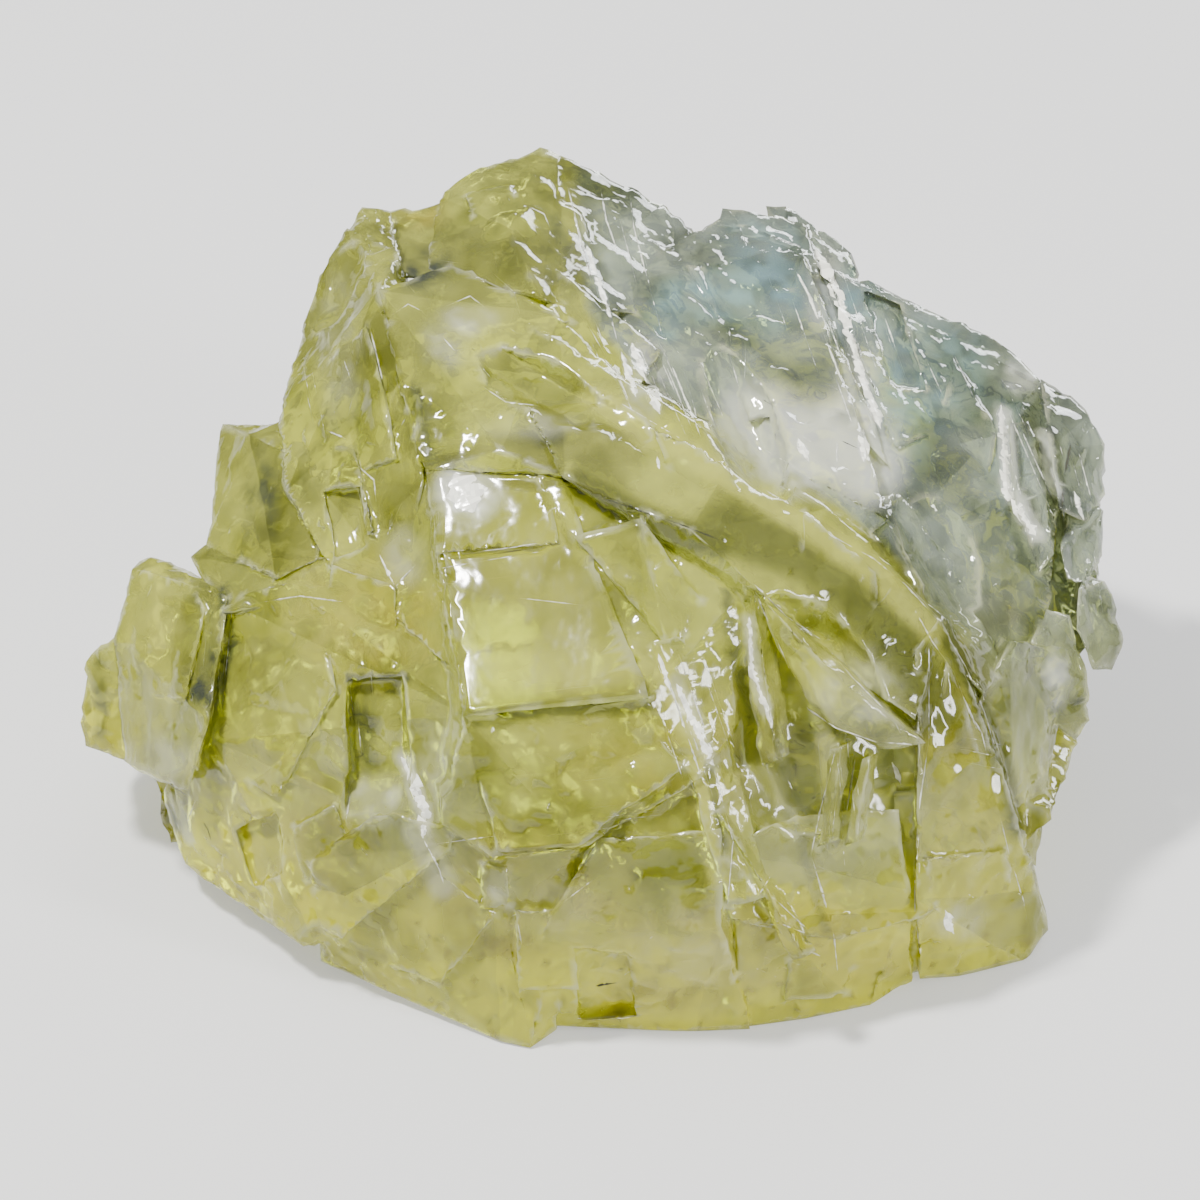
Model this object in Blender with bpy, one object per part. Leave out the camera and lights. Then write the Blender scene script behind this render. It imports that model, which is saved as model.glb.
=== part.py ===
"""A cluster of pale yellow calcite: intergrown cleavage blocks fused into one broken mass.

The cluster rests on a flat cleavage face. Its display side is the side that it is shown from:
the eye is in front of it and raised by DISPLAY_TILT. Places on that side are given as
(right, up, near) in millimetres: right of the middle, up the display plane from the lowest front
edge, and near, towards the eye. Places on the hidden sides are plain (x, y, z) in millimetres,
with +Y to the back and +Z up.
"""

import math

import bmesh
import bpy
from mathutils import Euler, Matrix, Vector, noise
from mathutils.bvhtree import BVHTree

MM = 0.001
DISPLAY_TILT = math.radians(35)
EYE_DISTANCE = 800  # from the eye to the display plane, in millimetres
EYE_UP = 45  # the height on the display plane that the eye looks at
CLEAVAGE_ANGLE = math.radians(101.9)  # between the edges at a calcite rhomb's blunt corner
NODE = "calcite_cluster"
CALCITE_COLOUR = (0.78, 0.74, 0.42, 1.0)
CALCITE_ROUGHNESS = 0.12
BELOW_TABLE = 60  # depth of the block that cuts the resting face, in millimetres
TABLE_SPAN = 300
OUTLINE_MIDDLE = (0.09, 45.14)  # x and y of the middle of the cluster's outline from above

RIGHT = Vector((1, 0, 0))
UP = Vector((0, math.sin(DISPLAY_TILT), math.cos(DISPLAY_TILT)))
NEAR = Vector((0, -math.cos(DISPLAY_TILT), math.sin(DISPLAY_TILT)))

# Blocks that show on the display side, each the hull of its corners as (right, up, near).
DISPLAY_BLOCKS = {
    "front_prow_left": [
        (-28, 8.9, -9), (-22, 6.9, -6), (-17, 4.3, -4), (-10, 0.9, -1), (-7, 0.2, -0.3),
        (-4.4, 2, -1.5), (-29, 19, 0), (-22, 24, 6), (-11, 21, 11.5), (-2, 20.5, 11.5),
        (-27, 9, -40), (-2, 4, -45), (-5, 24, -35),
    ],
    "front_prow_middle": [
        (-4.4, 2.4, -2), (-1.5, 2.8, -2.5), (4, 3.2, -1), (9.5, 1.8, -2.6), (15, 2, -2.9),
        (12, 12, 9), (12, 22, 12), (0, 21, 12.5), (-6, 12, 8), (12, 4, -45), (-3, 4, -45),
    ],
    "front_prow_right": [
        (13, 2, -2.9), (20.5, 3, -4.3), (27, 4.5, -6), (31, 7, -7), (31, 16, 3),
        (30, 24, 6), (20, 24, 9), (12, 20, 10), (14, 10, 5), (13, 8, -50), (31, 10, -50),
    ],
    "left_flank": [
        (-37.5, 45, -6), (-31, 46.6, -2), (-18, 46, 6.5), (-13.5, 33.5, 12.5), (-15, 20, 9),
        (-28, 9.5, -4), (-31.5, 11.5, -11), (-37, 15.5, -15), (-41.5, 18.5, -19),
        (-43, 22, -20), (-43.6, 27, -18), (-38.5, 31, -6), (-38, 40, -48), (-36, 18, -48),
        (-15, 30, -45),
    ],
    "left_block": [
        (-46.8, 48.2, -14), (-45.3, 49.5, -16), (-41.5, 48.2, -13), (-37.2, 45.4, -5),
        (-39.2, 33, -2.5), (-41.2, 26, -7), (-44.2, 27, -13), (-47.5, 29, -15),
        (-48.7, 41.2, -13.5), (-46, 46, -36), (-45, 30, -36), (-36, 42, -36),
    ],
    "left_lug": [
        (-52, 33.5, -19), (-51.4, 30.5, -20), (-47, 28.8, -18), (-46, 41, -15),
        (-48.7, 41.2, -16), (-50.8, 39.5, -18), (-50.5, 38, -31), (-50, 31, -31), (-45, 36, -34),
    ],
    "left_ledge": [
        (-41, 49.3, -12), (-39.5, 50.5, -13), (-31, 47.5, -4), (-27, 45.2, -1), (-37.3, 44, -4.5),
        (-38, 50, -30), (-28, 50, -30), (-30, 40, -30),
    ],
    "small_left_block": [
        (-37.8, 62.5, -19), (-35, 61.5, -14), (-31.5, 63, -15), (-28, 58, -6), (-28, 49, -2),
        (-32.5, 47, -4), (-39.4, 50.5, -13), (-38.6, 56, -16), (-36, 58, -36), (-37, 50, -36),
        (-28, 60, -36),
    ],
    "left_shoulder": [
        (-25.3, 82, -24), (-28, 77.5, -21), (-30.2, 70, -18), (-32, 63.2, -13), (-31.2, 56, -7),
        (-27, 48, 0), (-20, 46.5, 4.5), (-17.6, 57, 4), (-19.5, 67, -1), (-22.2, 76, -9),
        (-20, 80, -16), (-25, 76, -42), (-29, 62, -42), (-15, 62, -45),
    ],
    "satin_block": [
        (-17.6, 58.5, 4), (-6.2, 57, 7.5), (-13.6, 33.4, 15), (4.6, 35, 15.4), (10, 27.2, 13.2),
        (-2, 20.3, 12.6), (-10.8, 19.4, 11.6), (-16, 22.5, 10.4), (-15, 50, -30), (2, 50, -30),
        (2, 22, -30), (-12, 22, -30),
    ],
    "centre_face": [
        (-6.2, 57.5, 7.4), (9, 52.5, 9.8), (16, 48, 10.5), (18, 40, 9.5), (10, 27.2, 13.2),
        (4.6, 35, 15.4), (0, 50, -30), (17, 46, -30), (12, 27, -30),
    ],
    "upper_centre": [
        (-17.6, 58, 4.4), (-20, 67, -1), (-22, 76, -8), (-15, 78.5, -11), (-4, 73.5, -5),
        (4, 65.5, 0), (4, 60, 3), (-4, 57.5, 8), (-10, 60, 6.5), (-18, 74, -40), (2, 64, -40),
        (-10, 58, -40),
    ],
    "front_lip": [
        (-13, 74.5, -7), (-4, 71, -2.5), (4, 65, 1.5), (14, 60, 4.5), (23, 54, 5.5),
        (30, 47.5, 5), (34, 43, 4), (31.5, 33, 7.5), (24, 38.5, 12), (17, 45, 13.2),
        (9, 52, 12.8), (-3.6, 57.2, 10), (-4, 68, -16), (14, 56, -14), (32, 40, -14), (10, 50, -10),
    ],
    "right_facet": [
        (34, 43.4, 4), (38, 33.5, 1.5), (41.5, 23, -3), (43.8, 16, -9), (44.6, 12, -14),
        (42.6, 8.8, -12.5), (37.5, 7.5, -10.7), (32, 7.1, -8), (31.6, 15, 3), (31.8, 28, 7),
        (31.6, 40, 6.5), (41, 30, -42), (42, 12, -42), (30, 10, -42), (30, 40, -30),
    ],
    "right_lower_flank": [
        (45.2, 33, -12), (44.5, 28, -13.5), (42.9, 23, -13), (43.5, 18.5, -15), (41, 41, -4),
        (37.5, 34, -2), (41, 20, -8), (44, 32, -44), (42, 20, -44), (34, 40, -44), (47, 40, -15),
    ],
    "rear_slab_left": [
        (0, 76, -14), (9.4, 81.6, -27), (12, 83, -29), (20, 80.5, -26), (29, 53, -2.5),
        (14, 62, -8.5), (2, 68, -10), (22, 48, -4), (10, 72, -48), (24, 60, -50), (4, 76, -40),
    ],
    "rear_slab_right": [
        (19.5, 79.5, -27), (26, 77, -29.5), (32.5, 74.2, -29), (38.5, 70.6, -28.5),
        (41.2, 70.2, -29), (44, 67, -27), (46, 58, -20), (45, 45, -14), (42, 36, -8),
        (34, 40, -3), (28.5, 50, -3.5), (24, 66, -15.5), (24, 70, -48), (42, 60, -48), (44, 40, -46),
    ],
    "rim_core": [
        (43, 66.8, -28.5), (48, 63.6, -28), (49.4, 60.5, -27), (49.4, 50.5, -23.5),
        (49.8, 42, -20.5), (46, 36, -15.5), (43.6, 48, -14.5), (42.5, 57, -17.5), (42, 64, -22),
        (48, 62, -42), (48, 44, -42), (42, 36, -42),
    ],
    "rim_top": [
        (44, 67.2, -27.5), (47, 65.4, -27), (49, 63.6, -26), (50.3, 60.5, -25),
        (50.6, 55.5, -23.5), (48.5, 53, -19), (46, 54, -16.5), (45, 60, -19), (44.5, 64, -22.5),
        (48, 60, -40), (45, 64, -40),
    ],
    "rim_splinter": [
        (40.8, 62.8, -19.6), (42.9, 63, -19), (44.6, 56, -14.2), (45.4, 49.5, -12),
        (43.8, 47.5, -11), (41.8, 54, -13.2), (43, 56, -30), (45, 50, -30),
    ],
    "rim_knob": [
        (46.8, 54, -19.5), (50.6, 54, -22), (50.2, 49.5, -20.5), (48.6, 46.5, -16.5),
        (46.6, 46.8, -14), (46, 50, -14.6), (48, 50, -36),
    ],
    "rim_bulge": [
        (48, 47.5, -18), (50.6, 47, -19.5), (51.5, 44, -19), (52.2, 41, -18.5), (51.2, 38, -17.5),
        (49.3, 38.2, -14.2), (47.6, 42, -13), (47.8, 46, -14.6), (50, 42, -36), (48, 46, -36),
    ],
    "rim_foot": [
        (44.6, 44, -12), (47, 43.5, -13), (48.8, 37, -14), (49, 33, -15.6), (47.4, 31.2, -15.8),
        (45.3, 32.6, -13.2), (43.4, 37, -9.2), (43.2, 41, -9.2), (46, 38, -36), (46, 34, -36),
    ],
    "shoulder_toe": [
        (-27.5, 49, -1), (-20.3, 48, 3.8), (-17.4, 57, 3.8), (-13.9, 44, 10), (-14.5, 38, 11.8),
        (-18.2, 45, 6.3), (-22, 45, 2.6), (-24, 52, -20), (-14, 45, -20), (-24, 44, -20),
    ],
    "dome_root": [
        (-16.5, 79.5, -14.2), (-8, 80.5, -14), (-3, 77, -10), (6, 70, -10.5), (3, 65, -3.5),
        (-6, 72, -5.5), (-14, 76.4, -10.5), (-12, 76, -40), (4, 70, -40),
    ],
    "lip_root": [
        (-4, 71, -5), (4, 66, -3.6), (14, 60.8, -5), (24, 56, -5.4), (30, 49.6, -2.4),
        (36, 40, -2), (39.5, 31, -2.6), (42.4, 21, -8.5), (34, 32, 0), (20, 50, -2),
        (0, 66, -40), (24, 50, -40), (40, 26, -40), (26, 26, -20),
    ],
    "hollow_floor": [
        (14, 46.5, 9.5), (20, 45, 8.6), (31, 42.5, 4.6), (33.6, 38, 3.6), (33.6, 14, 0.6),
        (24, 11, 3), (13, 13, 8), (9, 26, 11.4), (8, 34, 12.6), (14, 44, -20), (30, 40, -20),
        (30, 14, -20), (12, 16, -20),
    ],
    "hollow_wall": [
        (5.2, 40.6, 15), (9.8, 40.4, 12.8), (17, 15.4, 8.4), (13, 14.4, 11), (7.4, 41.4, 13.6),
        (7, 39, 2), (14, 38, 2), (16, 16, 0), (12, 16, 0),
    ],
    "under_satin": [
        (-7, 19, 9.8), (-5, 23, 11.6), (3, 25.6, 13), (10.6, 27.8, 12), (13.6, 20, 9.6), (13.4, 14, 8.8),
        (4, 19, 11.6), (-4, 24, 12), (0, 24, -20), (12, 24, -20), (4, 16, -20),
    ],
    "seam_fill": [
        (-18, 59, 3.4), (-10, 61, 3.6), (4, 60, 2), (10, 54, 8.4), (4, 53, 9), (-6, 55.6, 7),
        (-15, 55.4, 5), (-10, 56, -20), (4, 56, -20),
    ],
    "ledge_fill": [
        (-33, 48.5, -7), (-26, 49.5, -0.4), (-24, 46.6, 2), (-30, 46, -2.6), (-34, 45.6, -5),
        (-30, 48, -20), (-25, 48, -20),
    ],
    "slab_toe": [
        (25, 54.4, -4.4), (28.6, 53, -2.8), (29.4, 49, -1.8), (34.2, 44.4, 0), (38.4, 35.4, 1.2),
        (36, 38, 2.4), (40.4, 38, -5.4), (36, 46, -6), (30, 56, -7), (30, 50, -20), (38, 40, -20),
    ],
    "facet_root": [
        (29.4, 26, 4.6), (34, 26, 3), (34, 12, -3), (33.4, 8.2, -9), (29.8, 7.4, -9),
        (29.6, 14, 1), (31, 24, -20), (31, 10, -25), (34, 12, -20),
    ],
    "pit_back": [
        (-21.4, 83.4, -30), (-16, 84.6, -30), (-15.5, 77, -19.5), (-23, 77.5, -19),
        (-20, 80, -38), (-16, 80, -38),
    ],
    "top_dome": [
        (-16, 85.4, -22), (-12, 88.1, -24), (-6, 90, -26), (-4, 89.5, -26), (2, 86.6, -27),
        (6.4, 84.6, -27.5), (9.4, 81.6, -27), (-17.4, 78, -13), (-9, 82, -13.5), (-6, 75, -6.5),
        (3, 74, -13), (8, 73, -16), (-12, 80, -44), (4, 78, -44),
    ],
    "top_left_horn": [
        (-23.8, 84.4, -27), (-21, 83.8, -27), (-25.4, 81.4, -24), (-22.6, 77.5, -13),
        (-20.4, 79, -17), (-24, 80, -36), (-20, 78, -36),
    ],
    "rear_crest": [
        (12.3, 84.1, -30), (14.4, 84.1, -30), (12.2, 79.4, -25), (22, 77.5, -24.5),
        (20.5, 82.6, -31), (12, 80, -40), (20, 78, -40),
    ],
    "rear_crest_tip": [
        (16.5, 84.5, -32), (18.5, 84.3, -32), (22.8, 81.3, -32), (25, 79.6, -31.5),
        (25.8, 77.6, -30), (18, 78, -25), (24.5, 75.5, -26), (18, 80, -40), (24, 75, -40),
    ],
}

# Long cleavage splinters standing out of the broken hollow: near ends and far ends of their spines.
SPLINTERS = [
    ((15.4, 45.6, 11.2), (17.6, 29.0, 11.6), 1.5),
    ((24.2, 30.4, 9.6), (22.6, 20.6, 8.8), 1.1),
    ((27.0, 29.4, 9.0), (25.4, 20.8, 8.2), 0.9),
    ((11.8, 24.0, 11.2), (20.4, 9.6, 6.4), 1.0),
]

# Hidden sides: cleavage rhombs by (x, y, z) of the middle, edge lengths, and turn in degrees.
HIDDEN_RHOMBS = [
    ((-22, 50, 18), (26, 24, 24), (18, -24, 12)),
    ((-8, 64, 20), (34, 22, 30), (8, 16, 38)),
    ((16, 66, 19), (30, 24, 28), (-14, 22, 6)),
    ((33, 52, 15), (20, 24, 20), (22, 8, -30)),
    ((-4, 60, 32), (28, 22, 20), (12, -10, 24)),
    ((20, 60, 28), (24, 20, 18), (-10, 14, 44)),
    ((-34, 38, 14), (16, 20, 18), (30, 4, -16)),
    ((30, 34, 10), (20, 26, 18), (10, -18, 20)),
    ((0, 44, 12), (54, 44, 26), (6, 6, 6)),
    ((-12, 30, 10), (30, 34, 22), (-8, 10, 40)),
    ((8, 73, 22), (16, 14, 18), (35, 20, -12)),
    ((-22, 64, 26), (14, 14, 16), (-20, 30, 15)),
    ((38, 62, 20), (12, 14, 16), (14, 40, 26)),
    ((-14, 58, 6), (30, 30, 22), (4, -8, 20)),
    ((16, 60, 6), (30, 28, 22), (-6, 10, -12)),
    ((2, 70, 9), (24, 18, 20), (10, 4, 50)),
    ((-28, 52, 8), (18, 20, 16), (-12, 18, 64)),
    ((32, 56, 6), (18, 20, 16), (16, -6, 80)),
    ((-20, 72, 12), (13, 14, 12), (24, 12, 0)),
    ((24, 74, 13), (14, 12, 14), (-18, 30, 30)),
]

# Conchoidal hollows broken out of the mass: (right, up, near) of the middle, half sizes, then
# the turn in the display plane in degrees.
HOLLOWS = [
    ((22.5, 30.5, 17.0), (10.0, 17.0, 11.5), 12),
    ((15.5, 14.0, 19.0), (8.0, 10.0, 9.5), 20),
    ((-10.0, 71.0, 26.0), (9.0, 20.0, 28.6), 66),
    ((-1.0, 66.0, 17.0), (5.0, 13.0, 15.4), 62),
    ((-20.6, 68.0, 14.0), (5.0, 14.0, 15.0), -6),
    ((-30.0, 6.0, -2.0), (7.0, 5.5, 7.0), 60),
    ((5.0, 8.0, 18.0), (14.0, 8.0, 10.6), 0),
    ((-20.5, 13.0, 17.5), (11.0, 8.0, 12.5), -24),
    ((13.0, 70.0, 2.0), (5.0, 17.0, 15.2), 18),
    ((35.0, 56.0, 6.0), (7.0, 22.0, 17.0), 22),
    ((-27.0, 80.0, -14.0), (4.0, 9.0, 8.0), -14),
]
HOLLOW_UNEVEN = 0.05  # how rough a hollow's wall is, as a share of its size

# Cleavage steps: thin plates that slope out of the faces. Each corner is (right, up, how proud),
# in millimetres; a corner below 0 is sunk in the face, so the plate fades out on that side.
PLATES = [
    [(-16.8, 57.6, -0.4), (-4.4, 58.2, -0.3), (4.9, 35.2, 0.9), (-13.3, 33.4, 0.9)],
    [(-16.4, 56.4, -0.4), (-5.4, 57.2, -0.4), (-4.2, 50.9, 0.7), (-16.2, 49.7, 0.7)],
    [(-26.9, 48.7, 0.7), (-20.6, 46.4, 0.7), (-20.0, 38.0, -0.6), (-27.2, 39.0, -0.6)],
    [(-36.6, 43.0, -0.5), (-28.6, 44.4, -0.4), (-26.3, 35.9, 0.9), (-32.4, 25.3, 0.9),
     (-37.4, 28.0, -0.5)],
    [(-30.8, 22.4, 0.8), (-26.4, 24.6, 0.8), (-22.4, 13.4, -0.6), (-28.5, 12.6, -0.6)],
    [(-45.9, 48.6, -0.5), (-41.3, 47.6, 0.8), (-39.6, 44.0, 0.8), (-41.6, 35.0, 0.8),
     (-46.6, 36.0, -0.5)],
    [(-24.0, 9.8, -0.4), (-16.0, 6.8, 0.8), (-10.4, 13.6, 0.8), (-17.5, 18.4, -0.6)],
    [(-13.2, 32.4, -0.6), (3.6, 33.8, -0.6), (8.4, 28.4, 0.7), (-2.4, 20.5, 0.9), (-10.4, 19.8, 0.9)],
    [(-8.8, 14.2, 0.9), (2.2, 13.6, -0.5), (3.0, 6.4, -0.4), (-8.0, 5.8, 0.9)],
    [(-11.8, 18.6, 0.5), (-9.3, 18.4, 0.5), (-9.2, 14.4, 1.0), (-12.0, 14.2, 1.0)],
    [(18.6, 5.0, 0.8), (24.6, 5.6, 0.8), (25.6, 9.4, -0.4), (19.0, 11.0, -0.4)],
    [(34.6, 38.6, 0.6), (36.8, 33.6, 0.6), (39.0, 25.6, -0.4), (33.4, 26.0, -0.4)],
    [(32.6, 19.2, 0.7), (40.6, 20.0, 0.7), (41.8, 11.4, -0.5), (34.4, 10.0, -0.5)],
    [(20.3, 79.4, 0.4), (27.8, 61.6, 0.9), (28.8, 58.4, 0.9), (22.0, 66.0, -0.5), (17.4, 72.0, -0.5)],
    [(22.2, 78.6, 0.8), (29.6, 60.4, 0.8), (35.6, 62.4, -0.6), (33.0, 72.6, -0.6)],
    [(35.4, 69.4, 0.8), (39.6, 61.6, 0.8), (38.2, 54.0, -0.5), (33.4, 60.0, -0.5)],
    [(8.6, 78.5, 0.8), (12.4, 77.6, -0.5), (18.6, 63.6, -0.5), (15.0, 63.0, 0.8)],
    [(-7.6, 86.4, -0.5), (-1.9, 83.6, 0.8), (1.5, 73.6, 0.8), (-5.0, 72.6, -0.5)],
    [(-13.4, 85.6, 0.6), (-9.0, 86.8, 0.6), (-7.0, 80.4, -0.4), (-12.0, 81.0, -0.4)],
    [(-29.6, 66.4, -0.5), (-23.4, 72.4, 0.8), (-21.7, 66.5, 0.8), (-20.4, 59.2, 0.8),
     (-28.0, 56.4, -0.5)],
    [(-30.4, 60.6, -0.4), (-24.6, 60.0, 0.7), (-22.6, 51.6, 0.7), (-28.8, 51.6, -0.4)],
    [(5.0, 62.6, 0.7), (13.0, 58.4, 0.7), (15.4, 52.0, -0.5), (8.4, 54.8, -0.5)],
    [(20.4, 53.8, 0.7), (27.6, 47.8, 0.7), (28.0, 40.6, -0.5), (20.4, 46.4, -0.5)],
    [(-2.6, 51.4, 0.7), (4.2, 53.0, 0.7), (11.6, 43.0, -0.5), (6.4, 40.6, -0.5)],
]
PLATE_ROOT = 2.5  # how far a plate reaches into the face it stands on

# Notches broken out of the faces: outline as (right, up, depth below the face).
NOTCHES = [
    [(-25.2, 37.0, 1.6), (-19.8, 37.4, 2.2), (-19.4, 27.6, 2.6), (-24.9, 27.0, 2.2),
     (-25.4, 23.2, -0.3), (-18.4, 23.8, -0.3)],
    [(-36.4, 22.0, 1.4), (-32.6, 24.0, 1.6), (-31.6, 17.6, 1.4), (-34.6, 16.4, 0.2)],
    [(-27.6, 55.8, 0.9), (-24.0, 56.4, 1.4), (-23.4, 50.4, 1.2), (-26.4, 49.4, 0.2)],
    [(26.4, 76.0, 1.4), (30.0, 74.6, 1.4), (32.6, 66.0, 0.2), (29.0, 66.6, 0.8)],
    [(-2.6, 10.0, 0.2), (2.6, 9.4, 1.2), (3.6, 3.4, 1.2), (-2.0, 3.0, 1.2)],
]
NOTCH_FRONT = 15  # how far in front of the face a notch cutter begins
HOLLOW_ROUNDS = 3  # subdivisions of the sphere that breaks out a hollow


def shown(place):
    """A place on the display side, in metres in the cluster's own frame.

    Right and up are read where the line of sight crosses the display plane, so that a place
    keeps its spot in the view whatever its depth.
    """
    right, up, near = place
    reach = 1 - near / EYE_DISTANCE
    up = EYE_UP + (up - EYE_UP) * reach
    return (RIGHT * right * reach + UP * up + NEAR * near) * MM


def clear_scene():
    for old in list(bpy.data.objects):
        bpy.data.objects.remove(old)


def calcite_material():
    material = bpy.data.materials.new("pale_yellow_calcite")
    material.use_nodes = True
    surface = material.node_tree.nodes["Principled BSDF"]
    surface.inputs["Base Color"].default_value = CALCITE_COLOUR
    surface.inputs["Roughness"].default_value = CALCITE_ROUGHNESS
    surface.inputs["Metallic"].default_value = 0.0
    return material


def object_from(name, shape, collection):
    """A new object from a bmesh, which is used up."""
    bmesh.ops.recalc_face_normals(shape, faces=shape.faces)
    mesh = bpy.data.meshes.new(name)
    shape.to_mesh(mesh)
    shape.free()
    made = bpy.data.objects.new(name, mesh)
    collection.objects.link(made)
    return made


def hull(name, corners, collection):
    """A convex block from its corners, in metres."""
    shape = bmesh.new()
    for corner in corners:
        shape.verts.new(corner)
    bmesh.ops.convex_hull(shape, input=shape.verts)
    loose = [corner for corner in shape.verts if not corner.link_faces]
    bmesh.ops.delete(shape, geom=loose, context="VERTS")
    return object_from(name, shape, collection)


def display_turn():
    """The rotation from (right, up, near) to the cluster's frame."""
    return Matrix((RIGHT, UP, NEAR)).transposed()


def hollow(name, middle, half_sizes, turn, collection):
    """The cutter for a conchoidal hollow: an uneven egg shape in the display plane."""
    shape = bmesh.new()
    bmesh.ops.create_icosphere(shape, subdivisions=HOLLOW_ROUNDS, radius=1.0)
    for vertex in shape.verts:
        bump = noise.noise(vertex.co * 2.2 + Vector(middle))
        vertex.co *= 1 + HOLLOW_UNEVEN * bump
    size = Matrix.Diagonal(Vector(half_sizes) * MM)
    turned = Matrix.Rotation(math.radians(turn), 3, "Z")
    place = Matrix.Translation(shown(middle)) @ (display_turn() @ turned @ size).to_4x4()
    bmesh.ops.transform(shape, matrix=place, verts=shape.verts)
    return object_from(name, shape, collection)


def rhomb_axes():
    """The three edge directions that meet at a cleavage rhomb's blunt corner."""
    spread = math.sqrt((1 - math.cos(CLEAVAGE_ANGLE)) * 2 / 3)
    rise = math.sqrt(1 - spread * spread)
    turns = [math.radians(120 * step) for step in range(3)]
    return [Vector((spread * math.cos(a), spread * math.sin(a), rise)) for a in turns]


def rhomb(name, middle, edges, turn, collection):
    """A cleavage rhomb: a cube sheared to calcite's angles."""
    shape = bmesh.new()
    bmesh.ops.create_cube(shape, size=1.0)
    axes = [axis * edge * MM for axis, edge in zip(rhomb_axes(), edges)]
    shear = Matrix(axes).transposed()
    turned = Euler([math.radians(angle) for angle in turn]).to_matrix()
    place = Matrix.Translation(Vector(middle) * MM) @ (turned @ shear).to_4x4()
    bmesh.ops.transform(shape, matrix=place, verts=shape.verts)
    return object_from(name, shape, collection)


def splinter(name, upper, lower, half_width, collection):
    """A thin three-sided spine between two places on the display side."""
    corners = []
    for right, up, near in (upper, lower):
        corners.append((right, up, near + half_width))
        corners.append((right - half_width, up - 0.4 * half_width, near - 0.6 * half_width))
        corners.append((right + half_width, up + 0.4 * half_width, near - 0.6 * half_width))
        corners.append((right, up, near - 5 * half_width))
    return hull(name, [shown(corner) for corner in corners], collection)


def shell_leaf(collection):
    """The leaf-shaped conchoidal shell that hangs over the broken hollow."""
    upper_rim = [(15.4, 46.2, 12.4), (20.5, 40.5, 13.6), (26.5, 35.0, 13.0), (32.6, 30.8, 9.4)]
    lower_rim = [(18.4, 39.0, 11.4), (23.0, 32.4, 11.0), (28.0, 30.0, 10.0)]
    roots = [(20.0, 42.0, 2.0), (30.0, 34.0, 1.0), (24.0, 36.0, 3.0)]
    return hull("shell_leaf", [shown(p) for p in upper_rim + lower_rim + roots], collection)


def surface_depth(body):
    """A function that gives how near the face under a (right, up) spot is."""
    tree = BVHTree.FromPolygons(
        [vertex.co for vertex in body.data.vertices],
        [face.vertices for face in body.data.polygons],
    )
    eye = shown((0, EYE_UP, 0)) + NEAR * EYE_DISTANCE * MM

    def depth(right, up):
        spot = shown((right, up, 0))
        hit = tree.ray_cast(eye, (spot - eye).normalized())[0]
        if hit is None:
            raise RuntimeError(f"no face under right {right}, up {up}")
        return (hit - shown((0, EYE_UP, 0))).dot(NEAR) / MM

    return depth


def plate(name, outline, depth, collection):
    """A thin cleavage plate standing on a face."""
    corners = []
    for right, up, rise in outline:
        near = depth(right, up)
        corners.append((right, up, near + rise))
        corners.append((right, up, near - PLATE_ROOT))
    return hull(name, [shown(corner) for corner in corners], collection)


def notch(name, outline, depth, collection):
    """The cutter for a notch with flat walls."""
    corners = []
    for right, up, down in outline:
        near = depth(right, up)
        corners.append((right, up, near - down))
        corners.append((right, up, near + NOTCH_FRONT))
    return hull(name, [shown(corner) for corner in corners], collection)


def bottom_cutter(collection):
    """The block under the table: what it takes off leaves the flat resting face."""
    shape = bmesh.new()
    bmesh.ops.create_cube(shape, size=1.0)
    size = Matrix.Diagonal((TABLE_SPAN * MM, TABLE_SPAN * MM, BELOW_TABLE * MM, 1))
    place = Matrix.Translation((0, 0, -BELOW_TABLE * MM / 2))
    bmesh.ops.transform(shape, matrix=place @ size, verts=shape.verts)
    return object_from("below_table", shape, collection)


def combine(body, pieces, operation):
    """Joins all the pieces to body in one Boolean, or cuts them all out, and removes them."""
    tools = bpy.data.collections.new("pieces_in_use")
    bpy.context.scene.collection.children.link(tools)
    for piece in pieces:
        for home in list(piece.users_collection):
            home.objects.unlink(piece)
        tools.objects.link(piece)
    step = body.modifiers.new(operation.lower(), "BOOLEAN")
    step.operation = operation
    step.solver = "EXACT"
    step.operand_type = "COLLECTION"
    step.collection = tools
    bpy.context.view_layer.update()
    graph = bpy.context.evaluated_depsgraph_get()
    joined = bpy.data.meshes.new_from_object(body.evaluated_get(graph))
    body.modifiers.clear()
    old = body.data
    body.data = joined
    bpy.data.meshes.remove(old)
    for piece in pieces:
        bpy.data.objects.remove(piece)
    bpy.data.collections.remove(tools)


def connected_faces(start):
    """All the faces that can be reached from one face across shared edges."""
    reached = {start}
    waiting = [start]
    while waiting:
        face = waiting.pop()
        for edge in face.edges:
            for other in edge.link_faces:
                if other not in reached:
                    reached.add(other)
                    waiting.append(other)
    return reached


def keep_outer_skin(body):
    """Fills the gaps sealed in between blocks, by leaving only the skin around them all."""
    shape = bmesh.new()
    shape.from_mesh(body.data)
    outermost = max(shape.faces, key=lambda face: face.calc_center_median().x)
    skin = connected_faces(outermost)
    inner = [face for face in shape.faces if face not in skin]
    bmesh.ops.delete(shape, geom=inner, context="FACES")
    bmesh.ops.triangulate(shape, faces=shape.faces)
    shape.to_mesh(body.data)
    shape.free()


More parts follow.
